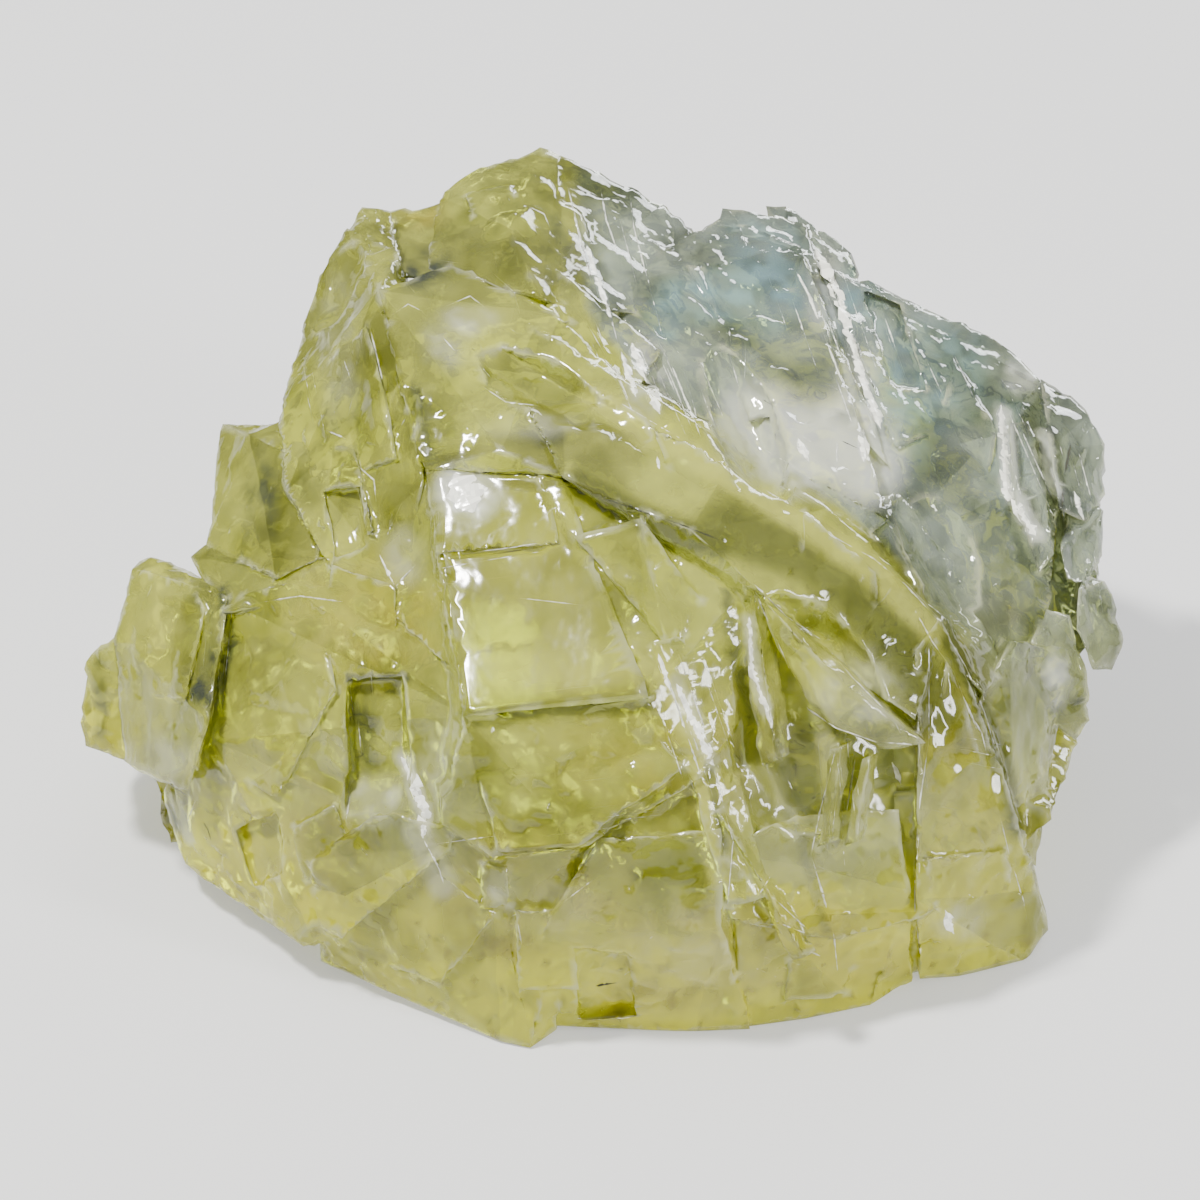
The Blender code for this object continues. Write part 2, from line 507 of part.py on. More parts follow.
def build_cluster():
    cluster = bpy.data.collections.new("calcite_cluster")
    bpy.context.scene.collection.children.link(cluster)
    blocks = [
        hull(name, [shown(corner) for corner in corners], cluster)
        for name, corners in DISPLAY_BLOCKS.items()
    ]
    for number, (middle, edges, turn) in enumerate(HIDDEN_RHOMBS):
        blocks.append(rhomb(f"hidden_rhomb_{number}", middle, edges, turn, cluster))
    body = blocks[0]
    combine(body, blocks[1:], "UNION")
    hollows = [
        hollow(f"hollow_{number}", middle, half_sizes, turn, cluster)
        for number, (middle, half_sizes, turn) in enumerate(HOLLOWS)
    ]
    combine(body, hollows, "DIFFERENCE")
    depth = surface_depth(body)
    plates = [
        plate(f"plate_{number}", outline, depth, cluster)
        for number, outline in enumerate(PLATES)
    ]
    notches = [
        notch(f"notch_{number}", outline, depth, cluster)
        for number, outline in enumerate(NOTCHES)
    ]
    splinters = [
        splinter(f"splinter_{number}", upper, lower, half_width, cluster)
        for number, (upper, lower, half_width) in enumerate(SPLINTERS)
    ]
    combine(body, plates, "UNION")
    combine(body, notches, "DIFFERENCE")
    combine(body, splinters + [shell_leaf(cluster)], "UNION")
    combine(body, [bottom_cutter(cluster)], "DIFFERENCE")
    keep_outer_skin(body)
    body.data.transform(Matrix.Translation((-OUTLINE_MIDDLE[0] * MM, -OUTLINE_MIDDLE[1] * MM, 0)))
    body.name = NODE
    body.data.name = NODE
    body.data.materials.clear()
    body.data.materials.append(calcite_material())
    return body


clear_scene()
build_cluster()
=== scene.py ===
"""A cluster of pale yellow calcite on a pale studio floor.

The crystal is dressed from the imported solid: its facets are cut finer and weathered, and then
given glassy, clouded calcite. Places on the display side are read as (right, up) or
(right, up, near) in millimetres, as they are in the part's own source: right of the middle, up the
display plane, and near, towards the eye, which is in front of the cluster and raised by
DISPLAY_TILT.
"""

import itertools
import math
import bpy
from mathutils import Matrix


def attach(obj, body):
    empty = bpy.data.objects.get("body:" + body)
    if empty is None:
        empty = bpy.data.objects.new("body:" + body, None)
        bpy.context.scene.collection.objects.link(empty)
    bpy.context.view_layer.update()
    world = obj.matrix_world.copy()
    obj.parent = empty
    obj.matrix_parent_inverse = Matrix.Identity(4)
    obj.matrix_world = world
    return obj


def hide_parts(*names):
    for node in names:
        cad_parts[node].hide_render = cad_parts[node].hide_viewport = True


bl_info = {
    "name": "Calcite Cluster",
    "version": (1, 0, 0),
    "blender": (4, 5, 0),
    "location": "3D View > Sidebar > Calcite",
    "description": "Dresses a calcite cluster and lights it on a pale studio floor",
    "category": "Add Mesh",
}

import bmesh
import bpy
import numpy as np
from bpy.props import FloatProperty, FloatVectorProperty, PointerProperty
from bpy.types import Operator, Panel, PropertyGroup
from mathutils import Vector
from mathutils.bvhtree import BVHTree

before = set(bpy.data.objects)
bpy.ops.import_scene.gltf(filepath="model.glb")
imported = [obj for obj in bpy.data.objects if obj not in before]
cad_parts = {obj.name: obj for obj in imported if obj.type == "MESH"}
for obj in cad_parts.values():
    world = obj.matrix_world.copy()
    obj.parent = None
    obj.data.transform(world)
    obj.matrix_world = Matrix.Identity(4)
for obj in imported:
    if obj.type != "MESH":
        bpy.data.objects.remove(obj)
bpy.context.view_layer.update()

MM = 0.001
FAR = 1e9  # further than anything is
NODE = "calcite_cluster"

# The view of the display side: the angle that the eye looks down at, then in millimetres its
# distance, how far up the display plane it looks, the place of the frame's origin in the part's
# source, and the widths of the picture and of the camera's sensor.
DISPLAY_TILT = math.radians(35)
EYE_DISTANCE = 800
EYE_UP = 45
OUTLINE_MIDDLE = (0.09, 45.14)
PICTURE_WIDTH = 120
SENSOR_WIDTH = 36

RIGHT = np.array((1.0, 0.0, 0.0))
UP = np.array((0.0, math.sin(DISPLAY_TILT), math.cos(DISPLAY_TILT)))
NEAR = np.array((0.0, -math.cos(DISPLAY_TILT), math.sin(DISPLAY_TILT)))
MIDDLE = np.array((OUTLINE_MIDDLE[0], OUTLINE_MIDDLE[1], 0.0))

# Where the yellow front ends and the clear rear begins, along the front band.
CLEAR_EDGE_UP = (3, 20, 31, 41, 48, 54.5, 60.5, 66, 74, 80, 90)
CLEAR_EDGE_RIGHT = (46, 43, 40.5, 36, 31, 24, 15, 5, -1, -2, -2.5)

# The satin cleavage face's outline, and spots on its plates, which are brought near to one plane.
SATIN_FACE = [(-17.0, 58.0), (-6.0, 56.5), (4.6, 35.4), (-13.6, 34.0)]
SATIN_SPOTS = [(-14.5, 55.0), (-8.0, 54.5), (-12.0, 46.0), (-4.5, 46.0), (0.5, 38.0), (-11.0, 38.0)]
SATIN_FLATNESS = 0.9
SATIN_DEPTHS = (4, 2.5)  # plates this far from the plane stay, and those this near are moved

# Oval clouds on the display side, some of them painted shade and painted highlights: (right, up) of
# the middle, half sizes and strength.
CLOUDS = {
    # White veils inside, and painted highlights: the reflection on the left window's upward floor and
    # lit shells beside the satin face.
    "milky_and_highlight": [
        ((-13.0, 73.0), (2.4, 1.4), 0.6), ((-15.2, 70.8), (2.2, 2.6), 0.5),
        ((-22.2, 25.0), (3.0, 2.2), 0.9), ((22.0, 26.0), (9.0, 9.0), 0.3),
        ((-10.0, 16.2), (1.4, 1.9), 0.7), ((-16.0, 29.0), (1.4, 4.5), 0.5),
        ((26.0, 36.0), (3.6, 3.6), 0.6), ((30.4, 26.5), (1.6, 5.0), 0.6),
        ((-27.0, 29.0), (3.0, 2.6), 0.2), ((10.0, 11.0), (7.0, 4.0), 0.2),
        ((-44.0, 29.0), (3.0, 2.0), 0.5),
        ((-7.0, 62.5), (4.0, 1.2), 0.4), ((-26.0, 70.0), (2.0, 7.0), 0.25),
        ((-5.0, 14.0), (5.0, 3.0), 0.2),
        ((-19.6, 49.2), (2.0, 2.6), 0.5), ((36.0, 13.0), (2.4, 1.6), 0.6),
    ],
    # These white clouds are mostly painted highlights: the lamp's glare on the satin face, a bright
    # facet and glints of the rear and the right rim, with some real white veils.
    "frost_and_glare": [
        ((45.5, 37.2), (1.4, 2.6), 0.9), ((21.5, 60.6), (7.0, 4.2), 1.3),
        ((42.2, 67.4), (1.4, 1.6), 1.0), ((26.0, 66.0), (2.0, 6.0), 0.5),
        ((22.6, 75.0), (1.6, 4.0), 0.5), ((4.6, 67.6), (1.8, 3.6), 0.6),
        # A painted highlight: the lamp's glare at the top left of the satin face.
        ((-13.4, 55.6), (2.8, 2.6), 1.2),
    ],
    # Painted shade: near-black where clear windows show the dim room, and in pits, notches and deep
    # cracks.
    "painted_shade": [
        ((-23.6, 31.6), (1.5, 3.6), 0.8), ((-39.6, 40.0), (1.5, 6.0), 0.6),
        ((-39.8, 36.7), (1.9, 2.8), 0.9), ((-33.8, 56.0), (1.6, 3.8), 0.9),
        ((-50.0, 34.0), (0.8, 3.6), 0.8), ((-17.6, 78.0), (2.8, 2.2), 1.0),
        ((-42.3, 24.0), (1.2, 3.2), 1.0), ((9.5, 80.5), (4.0, 2.8), 0.7),
        ((-3.2, 79.0), (2.4, 3.8), 0.7), ((3.0, 74.0), (3.0, 4.0), 0.5),
        ((-6.8, 61.2), (3.4, 0.9), 0.7), ((20.0, 66.5), (3.0, 2.6), 0.5),
        ((34.0, 46.0), (3.0, 4.0), 0.6), ((47.0, 58.5), (1.2, 5.0), 0.9),
        ((-29.0, 57.0), (1.4, 3.0), 0.4), ((-15.0, 69.0), (1.0, 2.0), 0.5),
        ((16.5, 31.5), (2.6, 5.0), 0.3), ((44.5, 48.0), (1.5, 4.0), 0.6),
        ((30.0, 55.0), (4.0, 5.0), 0.4), ((45.4, 34.0), (1.0, 0.8), 1.0),
        ((48.0, 34.6), (0.8, 0.8), 1.0), ((-49.8, 39.2), (0.7, 0.9), 1.0),
    ],
    "blue": [
        ((9.5, 75.5), (3.4, 2.4), 0.8), ((16.0, 75.5), (4.2, 3.4), 1.0),
        ((25.5, 74.0), (3.0, 3.4), 0.9), ((6.4, 73.0), (2.0, 1.8), 0.9),
        ((33.0, 68.0), (5.0, 5.0), 0.6), ((29.0, 62.0), (3.6, 5.0), 0.6),
        ((15.6, 81.0), (4.5, 2.2), 0.5), ((41.0, 60.0), (2.0, 5.0), 0.4),
    ],
    "amber": [
        ((36.0, 27.0), (4.5, 15.0), 0.35), ((-23.0, 43.0), (7.0, 6.0), 0.5),
        ((8.0, 30.0), (12.0, 7.0), 0.35), ((-8.0, 16.0), (10.0, 6.0), 0.4),
        ((40.0, 45.0), (2.2, 2.4), 0.8), ((-18.0, 84.0), (2.6, 1.6), 0.8),
        ((-32.0, 22.0), (8.0, 9.0), 0.4), ((18.0, 10.0), (14.0, 5.0), 0.5),
    ],
    "olive": [
        ((-8.0, 85.0), (8.0, 7.0), 0.6), ((-2.0, 58.5), (5.0, 3.0), 0.5),
        ((-27.0, 68.0), (4.0, 9.0), 0.35), ((-4.0, 68.0), (7.0, 5.0), 0.35),
        ((-15.0, 62.0), (4.0, 4.0), 0.3), ((20.0, 48.0), (6.0, 2.4), 0.4),
        ((-33.5, 50.0), (3.0, 3.0), 0.4), ((14.0, 72.5), (2.6, 1.4), 0.6),
        ((30.0, 46.0), (2.6, 4.0), 0.4), ((-23.4, 28.4), (2.4, 0.8), 0.6),
    ],
    "pale": [
        ((21.5, 37.0), (5.0, 4.0), 0.8), ((-27.0, 43.0), (5.0, 7.0), 0.3),
        ((-44.5, 39.0), (3.0, 8.0), 0.5),
        ((-31.0, 36.0), (5.0, 7.0), 0.3), ((35.5, 22.0), (3.6, 5.0), 0.3),
        ((-32.0, 21.0), (5.0, 6.0), 0.2), ((10.0, 8.0), (12.0, 3.0), 0.3),
        ((-4.0, 46.0), (6.0, 8.0), 0.3), ((17.0, 20.0), (4.0, 6.0), 0.4),
    ],
    "stain": [
        ((2.0, 3.9), (1.8, 0.6), 0.7), ((-6.5, 4.5), (1.2, 0.8), 0.4),
        ((-8.6, 10.5), (3.2, 1.6), 0.5), ((6.0, 5.5), (6.0, 1.6), 0.4),
    ],
}

# Bands of colour on the display side, some of them painted shade and painted highlights: half width,
# strength, then the places they run through.
BANDS = {
    "olive": [
        (1.6, 0.9, (-2.0, 56.6), (2.0, 54.4), (6.0, 52.4), (12.0, 50.6)),
        (2.6, 0.8, (12.0, 52.0), (20.0, 49.6), (26.0, 45.4), (30.5, 40.6), (33.5, 34.0)),
        (1.0, 0.9, (33.5, 43.4), (37.9, 35.0), (40.5, 27.7), (41.6, 22.3)),
        (0.8, 0.6, (-13.6, 33.6), (4.6, 34.8)),
    ],
    "pale": [
        # The first two pale bands are painted highlights: along the lit upper edge of the curved
        # front band, and on the glinting bars of the hollow.
        (1.2, 0.6, (-1.0, 65.4), (10.0, 59.0), (20.0, 52.8), (27.3, 48.0), (33.0, 42.0)),
        (1.0, 0.7, (6.0, 39.5), (10.3, 26.8), (12.7, 13.7)),
        (2.2, 0.4, (-9.0, 38.0), (4.0, 39.0)),
    ],
    # Painted shade along notch edges, deep cracks and dark lines of the clear rear.
    "painted_shade": [
        (0.9, 0.9, (42.8, 63.0), (44.3, 58.0), (46.4, 52.0)),
        (0.5, 0.9, (45.4, 61.5), (46.4, 56.0)),
        (0.5, 0.8, (41.2, 62.5), (42.0, 57.0), (44.0, 52.5)),
        (0.6, 0.9, (-37.6, 46.0), (-37.0, 41.0), (-38.2, 36.0)),
        (0.4, 1.0, (-25.0, 37.1), (-19.4, 37.3)),
        (0.4, 0.8, (-24.4, 34.6), (-23.4, 29.2)),
        (0.6, 0.7, (12.6, 45.6), (13.8, 38.0), (15.4, 33.0)),
        (0.7, 0.6, (-4.6, 83.0), (-2.4, 78.0), (0.6, 73.6)),
        (0.5, 0.7, (-0.2, 79.0), (2.0, 73.0)),
        (0.6, 0.7, (4.6, 70.6), (6.6, 65.0)),
        (0.6, 0.6, (22.4, 79.4), (24.6, 72.0), (26.4, 66.0)),
        (0.4, 0.7, (10.8, 28.4), (12.4, 20.0)),
        (0.5, 0.5, (18.0, 31.0), (19.0, 24.0), (22.6, 12.0)),
        (0.5, 0.6, (-18.4, 66.0), (-17.0, 59.0)),
    ],
    # These white bands are painted glints: along the right rim and on a bright facet of the rear.
    "frost_and_glare": [
        (0.8, 0.8, (40.4, 63.5), (41.0, 56.0), (43.8, 51.6)),
        (3.6, 0.95, (15.6, 62.8), (21.0, 61.0), (26.6, 58.6)),
        (0.6, 0.9, (44.2, 61.5), (45.6, 56.0)),
    ],
    # These bands are mostly painted glints: along the hollow's ridges and bars and the left window's
    # bright streak.
    "milky_and_highlight": [
        (0.7, 0.9, (-19.9, 29.3), (-18.6, 26.8), (-17.4, 22.7)),
        (1.4, 0.5, (-18.4, 22.0), (-15.8, 16.6)),
        (0.5, 0.8, (-42.6, 25.4), (-41.0, 21.0)),
        (0.6, 0.7, (15.0, 43.0), (15.3, 38.0), (16.6, 33.8)),
        (0.8, 0.6, (7.6, 36.7), (11.3, 28.5)),
    ],
}

# Fine parallel cleavage lines: count, middle, spread across, length, (right, up) run and width.
STRIATIONS = [
    (9, (6.5, 67.5), 6.0, 9.0, (0.40, -0.92), 0.22),
    (6, (1.0, 77.5), 5.0, 11.0, (0.25, -0.97), 0.22),
    (11, (23.5, 70.0), 7.0, 13.0, (0.33, -0.94), 0.24),
    (5, (36.5, 66.0), 5.0, 8.0, (0.42, -0.91), 0.18),
    (9, (9.5, 32.0), 3.4, 10.0, (0.33, -0.94), 0.22),
    (8, (23.5, 26.0), 4.0, 9.0, (0.10, -0.99), 0.18),
    (8, (44.5, 57.0), 4.0, 8.0, (0.26, -0.97), 0.24),
    (6, (21.0, 60.6), 7.0, 6.0, (0.86, -0.50), 0.18),
    (6, (-2.0, 29.0), 9.0, 11.0, (0.96, 0.12), 0.12),
    (5, (-38.6, 40.0), 1.4, 8.0, (-0.10, -0.99), 0.16),
    (5, (-24.0, 33.0), 2.4, 4.0, (0.10, -0.99), 0.20),
    (6, (36.0, 26.0), 6.0, 5.0, (0.98, -0.20), 0.12),
    (5, (-30.0, 64.0), 4.0, 9.0, (0.20, -0.98), 0.14),
    (8, (0.0, 12.0), 9.0, 5.0, (0.80, 0.60), 0.14),
    (8, (-27.0, 18.0), 9.0, 5.0, (0.60, -0.80), 0.14),
    (8, (20.0, 13.0), 7.0, 5.0, (0.92, -0.39), 0.14),
]

# Bright lines on the display side, partly real pale cleavage edges and partly painted glints and
# reflections off cleavage faces: width, then the (right, up) places they run through.
GLINT_AND_CLEAVAGE_LINES = [
    (1.0, (-1.4, 80.7), (-0.5, 77.7), (1.2, 72.9)),
    (0.4, (0.0, 86.6), (0.6, 83.1), (2.3, 78.3)),
    (0.35, (3.0, 85.5), (3.4, 82.2), (5.1, 75.7)),
    (0.35, (-4.5, 83.4), (-2.8, 81.3)),
    (0.3, (-3.7, 86.3), (-3.4, 84.3)),
    (0.3, (-2.3, 72.0), (0.1, 68.4)),
    (0.3, (-1.2, 72.5), (0.7, 69.2)),
    (0.25, (-0.4, 72.7), (0.9, 69.3)),
    (1.5, (3.2, 70.7), (4.6, 67.0), (6.0, 63.6)),
    (1.0, (2.1, 69.9), (3.6, 65.3)),
    (0.5, (6.4, 69.0), (9.2, 62.1)),
    (0.6, (7.1, 68.6), (10.1, 61.3)),
    (0.3, (8.4, 67.9), (9.9, 62.5)),
    (0.25, (10.1, 66.0), (11.6, 62.1)),
    (0.6, (12.9, 72.3), (13.1, 70.5)),
    (0.3, (14.6, 70.5), (14.4, 66.2)),
    (0.3, (12.9, 69.7), (14.0, 65.9)),
    (1.2, (21.4, 80.5), (24.0, 74.9), (25.5, 69.7), (28.1, 62.1)),
    (0.6, (19.4, 78.3), (20.9, 75.5), (23.1, 69.7), (24.8, 65.3), (26.3, 62.1)),
    (0.9, (19.8, 61.2), (20.9, 58.8)),
    (0.5, (23.7, 61.0), (23.7, 57.1)),
    (1.2, (26.3, 62.1), (26.4, 58.8)),
    (1.2, (40.1, 64.5), (40.7, 55.9), (43.6, 51.4)),
    (0.3, (40.7, 64.2), (45.5, 53.0)),
    (0.3, (42.0, 62.3), (45.5, 54.6)),
    (0.25, (44.2, 61.0), (45.8, 55.9)),
    (1.0, (47.4, 55.9), (48.4, 53.0)),
    (0.4, (49.3, 50.1), (50.3, 43.8)),
    (0.3, (31.5, 44.0), (33.2, 40.9), (35.4, 37.8), (36.8, 34.1), (38.2, 31.6), (38.9, 28.8),
     (39.9, 23.8), (41.0, 19.3), (42.4, 14.8), (42.9, 11.7)),
    (0.4, (36.3, 35.5), (37.9, 31.6)),
    (0.3, (-1.0, 66.5), (10.0, 60.0), (16.0, 56.3), (20.0, 54.0), (23.2, 51.4), (27.3, 49.2),
     (30.5, 46.6), (33.7, 43.1), (36.6, 38.3), (38.5, 33.6), (40.4, 27.2)),
    (0.5, (6.0, 39.5), (10.3, 26.8)),
    (1.0, (7.6, 36.7), (11.3, 28.5)),
    (0.8, (5.8, 39.7), (7.1, 35.8)),
    (0.3, (11.3, 28.5), (13.3, 20.9), (12.7, 13.7)),
    (0.3, (15.2, 46.8), (18.6, 43.4), (22.0, 41.1), (25.3, 37.2), (29.2, 33.3), (30.1, 31.6)),
    (0.35, (15.5, 45.9), (17.2, 42.0), (19.1, 37.8), (20.8, 34.1), (23.6, 32.2), (27.6, 30.8),
     (32.0, 30.5)),
    (1.0, (14.9, 43.4), (15.2, 38.1), (16.3, 35.0), (17.2, 32.2)),
    (0.8, (29.2, 28.8), (30.1, 26.6)),
    (0.35, (32.9, 40.6), (32.9, 31.0), (32.0, 24.9), (31.8, 22.6), (31.5, 18.1), (31.5, 13.9),
     (32.0, 9.7)),
    (0.3, (23.6, 30.2), (22.0, 23.8), (21.1, 19.5)),
    (0.3, (25.6, 29.6), (24.2, 20.9)),
    (0.25, (24.1, 29.6), (23.2, 21.2)),
    (0.6, (14.9, 13.9), (17.2, 17.6)),
    (0.5, (21.1, 19.5), (22.2, 15.9), (23.4, 11.4), (23.8, 7.5)),
    (0.3, (17.5, 15.1), (20.8, 12.0)),
    (0.4, (15.2, 12.8), (17.5, 12.5), (19.1, 10.6), (22.5, 9.2)),
    (1.1, (34.5, 14.0), (35.4, 11.6)),
    (0.6, (36.3, 15.9), (38.2, 14.8)),
    (1.4, (-19.9, 29.3), (-18.6, 26.8), (-17.4, 23.7), (-17.7, 21.2)),
    (0.5, (-17.7, 21.2), (-16.1, 18.1), (-15.2, 15.3)),
    (0.3, (-25.5, 22.4), (-24.7, 27.1)),
    (0.6, (-22.1, 49.6), (-20.5, 46.3)),
    (0.3, (-19.9, 54.6), (-21.3, 51.5)),
    (0.4, (-20.5, 46.3), (-18.5, 48.5)),
    (0.4, (-43.3, 26.8), (-41.1, 25.3)),
    (0.3, (-43.3, 23.7), (-40.9, 24.7)),
    (0.4, (-42.1, 20.6), (-40.5, 24.9)),
    (0.4, (-23.0, 72.2), (-21.7, 66.7)),
    (0.4, (-19.2, 63.7), (-20.1, 62.0)),
    (0.35, (-27.4, 62.0), (-25.4, 61.1)),
    (0.4, (-16.0, 79.0), (-14.2, 78.7)),
    # Painted glints.
    (0.8, (5.7, 59.4), (6.0, 58.0)),
    (0.5, (-9.0, 72.2), (-8.2, 71.6)),
    # Two crossing strips: a painted highlight, the lamp's glare at the top left of the satin face.
    (3.0, (-14.6, 57.6), (-13.6, 55.6), (-12.6, 53.8)),
    (2.2, (-15.4, 55.2), (-13.4, 55.8), (-11.2, 56.2)),
    (0.3, (-15.4, 46.6), (-9.0, 47.4)),
    (0.25, (-8.0, 45.2), (-1.0, 44.4)),
    (0.3, (-21.5, 76.5), (-19.6, 77.0), (-18.4, 75.6)),
    (0.3, (-20.8, 73.5), (-19.2, 74.6), (-17.6, 73.8)),
    (0.3, (-16.0, 71.6), (-14.6, 70.0), (-12.4, 70.2)),
    (0.3, (-15.4, 74.4), (-13.0, 75.4), (-11.4, 74.2)),
    (0.25, (-10.6, 77.6), (-8.6, 75.8), (-8.0, 73.6)),
    (0.3, (-11.8, 66.4), (-9.4, 64.8), (-6.0, 64.4)),
    (0.25, (-25.6, 69.0), (-24.6, 66.0), (-25.2, 63.4)),
    (0.25, (-29.4, 66.0), (-28.6, 62.4), (-29.4, 59.6)),
    (0.3, (-24.4, 58.6), (-22.6, 57.0), (-22.4, 54.8)),
    (0.3, (-7.6, 84.6), (-5.6, 83.6), (-4.8, 81.8)),
    (0.3, (-35.0, 44.6), (-30.0, 45.4), (-25.6, 44.8)),
    (0.3, (-16.4, 20.6), (-10.6, 21.4), (-10.2, 19.4)),
    (0.3, (-10.6, 12.4), (-8.4, 13.6), (-7.8, 10.4)),
    (0.35, (-16.2, 49.4), (-10.0, 50.1), (-6.0, 50.7)),
    (0.3, (-15.8, 48.2), (-10.0, 49.2), (-5.6, 49.9)),
]
DARK_LINES = [
    (0.5, (-5.4, 6.4), (-1.0, 6.3), (2.1, 6.8)),
    (0.25, (-16.0, 48.9), (-10.0, 49.7), (-5.8, 50.3)),
    (0.35, (-40.8, 24.6), (-39.2, 22.0), (-38.3, 19.0)),
    (0.7, (47.1, 60.7), (46.4, 57.2), (46.1, 53.0)),
    (0.3, (15.5, 65.5), (20.0, 62.8), (26.4, 59.9)),
    (0.3, (-3.9, 56.6), (2.0, 54.6), (8.0, 52.6), (12.0, 51.0)),
]


def shown(right, up, near):
    """A place on the display side, in metres in the cluster's own frame."""
    reach = 1 - near / EYE_DISTANCE
    spot = RIGHT * right * reach + UP * (EYE_UP + (up - EYE_UP) * reach) + NEAR * near
    return Vector((spot - MIDDLE) * MM)


def seen_from_eye(points):
    """Each point's (right, up, near) in millimetres, as arrays."""
    spots = points / MM + MIDDLE
    near = spots @ NEAR
    reach = 1 - near / EYE_DISTANCE
    right = spots @ RIGHT / reach
    up = EYE_UP + (spots @ UP - EYE_UP) / reach
    return right, up, near


def smooth(low, high, value):
    """0 below low, 1 above high, and an even curve in between."""
    share = np.clip((value - low) / (high - low), 0, 1)
    return share * share * (3 - 2 * share)


def patch(right, up, middle, half_sizes, soft=0.6):
    """1 in the middle of an oval patch of the display side, 0 outside it."""
    far = np.hypot((right - middle[0]) / half_sizes[0], (up - middle[1]) / half_sizes[1])
    return 1 - smooth(1 - soft, 1 + soft, far)


def band(right, up, half_width, places):
    """1 along a line through (right, up) places, 0 beyond half_width from it."""
    far = np.full(len(right), FAR)
    for (r0, u0), (r1, u1) in zip(places, places[1:]):
        run, rise = r1 - r0, u1 - u0
        share = ((right - r0) * run + (up - u0) * rise) / (run * run + rise * rise)
        share = np.clip(share, 0, 1)
        far = np.minimum(far, np.hypot(right - r0 - share * run, up - u0 - share * rise))
    return 1 - smooth(0.5 * half_width, 1.5 * half_width, far)


def inside(right, up, outline, soft):
    """1 inside a convex outline given clockwise, 0 outside, over soft millimetres."""
    depth = np.full(len(right), FAR)
    for (r0, u0), (r1, u1) in zip(outline, outline[1:] + outline[:1]):
        length = math.hypot(r1 - r0, u1 - u0)
        across = ((right - r0) * (u1 - u0) - (up - u0) * (r1 - r0)) / length
        depth = np.minimum(depth, across)
    return smooth(-soft, soft, depth)


def colour_property(name, description, default):
    """A colour that a user can pick."""
    return FloatVectorProperty(
        name=name, description=description, subtype="COLOR", size=3, default=default
    )


class CalciteLooks(PropertyGroup):
    """Sizes and colours of the cluster that a user would change."""

    fine_edge: FloatProperty(
        name="Fine edge",
        description="Longest edge of the small faces on the display side",
        default=0.0011,
        min=0.0006,
        unit="LENGTH",
    )
    coarse_edge: FloatProperty(
        name="Coarse edge",
        description="Longest edge of the small faces on the hidden sides",
        default=0.0022,
        min=0.0006,
        unit="LENGTH",
    )
    wear: FloatProperty(
        name="Wear",
        description="Height of the waves and steps that weathering left on the faces",
        default=0.00016,
        min=0.0,
        unit="LENGTH",
    )
    dark_yellow: colour_property("Dark yellow", "Deepest yellow of the front", (0.16, 0.17, 0.01))
    pale_yellow: colour_property("Pale yellow", "Palest yellow of the front", (0.62, 0.64, 0.12))
    dark_glass: colour_property("Dark glass", "Darkest grey of the rear", (0.05, 0.065, 0.04))
    pale_glass: colour_property("Pale glass", "Palest grey of the rear", (0.48, 0.55, 0.47))
    # A painted glow: brighter yellow towards the base, for light shining through the thin lower part.
    glow: colour_property("Glow", "Bright yellow of the thin lower edge", (0.94, 0.90, 0.012))
    olive: colour_property("Olive", "Deep bands of the front", (0.10, 0.11, 0.015))
    # Pale clouds of the front, and painted highlights in two of its bands.
    pale: colour_property("Pale", "Pale clouds of the front", (0.80, 0.80, 0.17))
    # White veils inside, and the colour of painted highlights and reflections, edge highlights among
    # them.
    milky_and_highlight: colour_property("Milky", "White veils inside", (0.88, 0.89, 0.64))
    # White veils of the rear, and the colour of the painted glare and glints.
    frost_and_glare: colour_property("Frost", "White veils of the rear", (0.93, 0.95, 0.90))
    # Painted shade: near-black for clear windows that show the dim room, and for pits, notches and
    # deep cracks.
    painted_shade: colour_property("Smoky", "Dark, clear windows", (0.055, 0.065, 0.045))
    blue: colour_property("Blue", "Blue gleam of the rear", (0.28, 0.46, 0.50))
    satin: colour_property("Satin", "Body under the satin face", (0.30, 0.30, 0.004))
    amber: colour_property("Amber", "Warm clouds of the front", (0.54, 0.45, 0.02))
    stain: colour_property("Stain", "Iron stains along the lower edge", (0.10, 0.045, 0.012))
    floor_colour: colour_property("Floor", "Colour of the studio floor", (0.5, 0.5, 0.5))


def set_inputs(node, values):
    """Sets a node's own input values by name."""
    for name, value in values.items():
        node.inputs[name].default_value = value


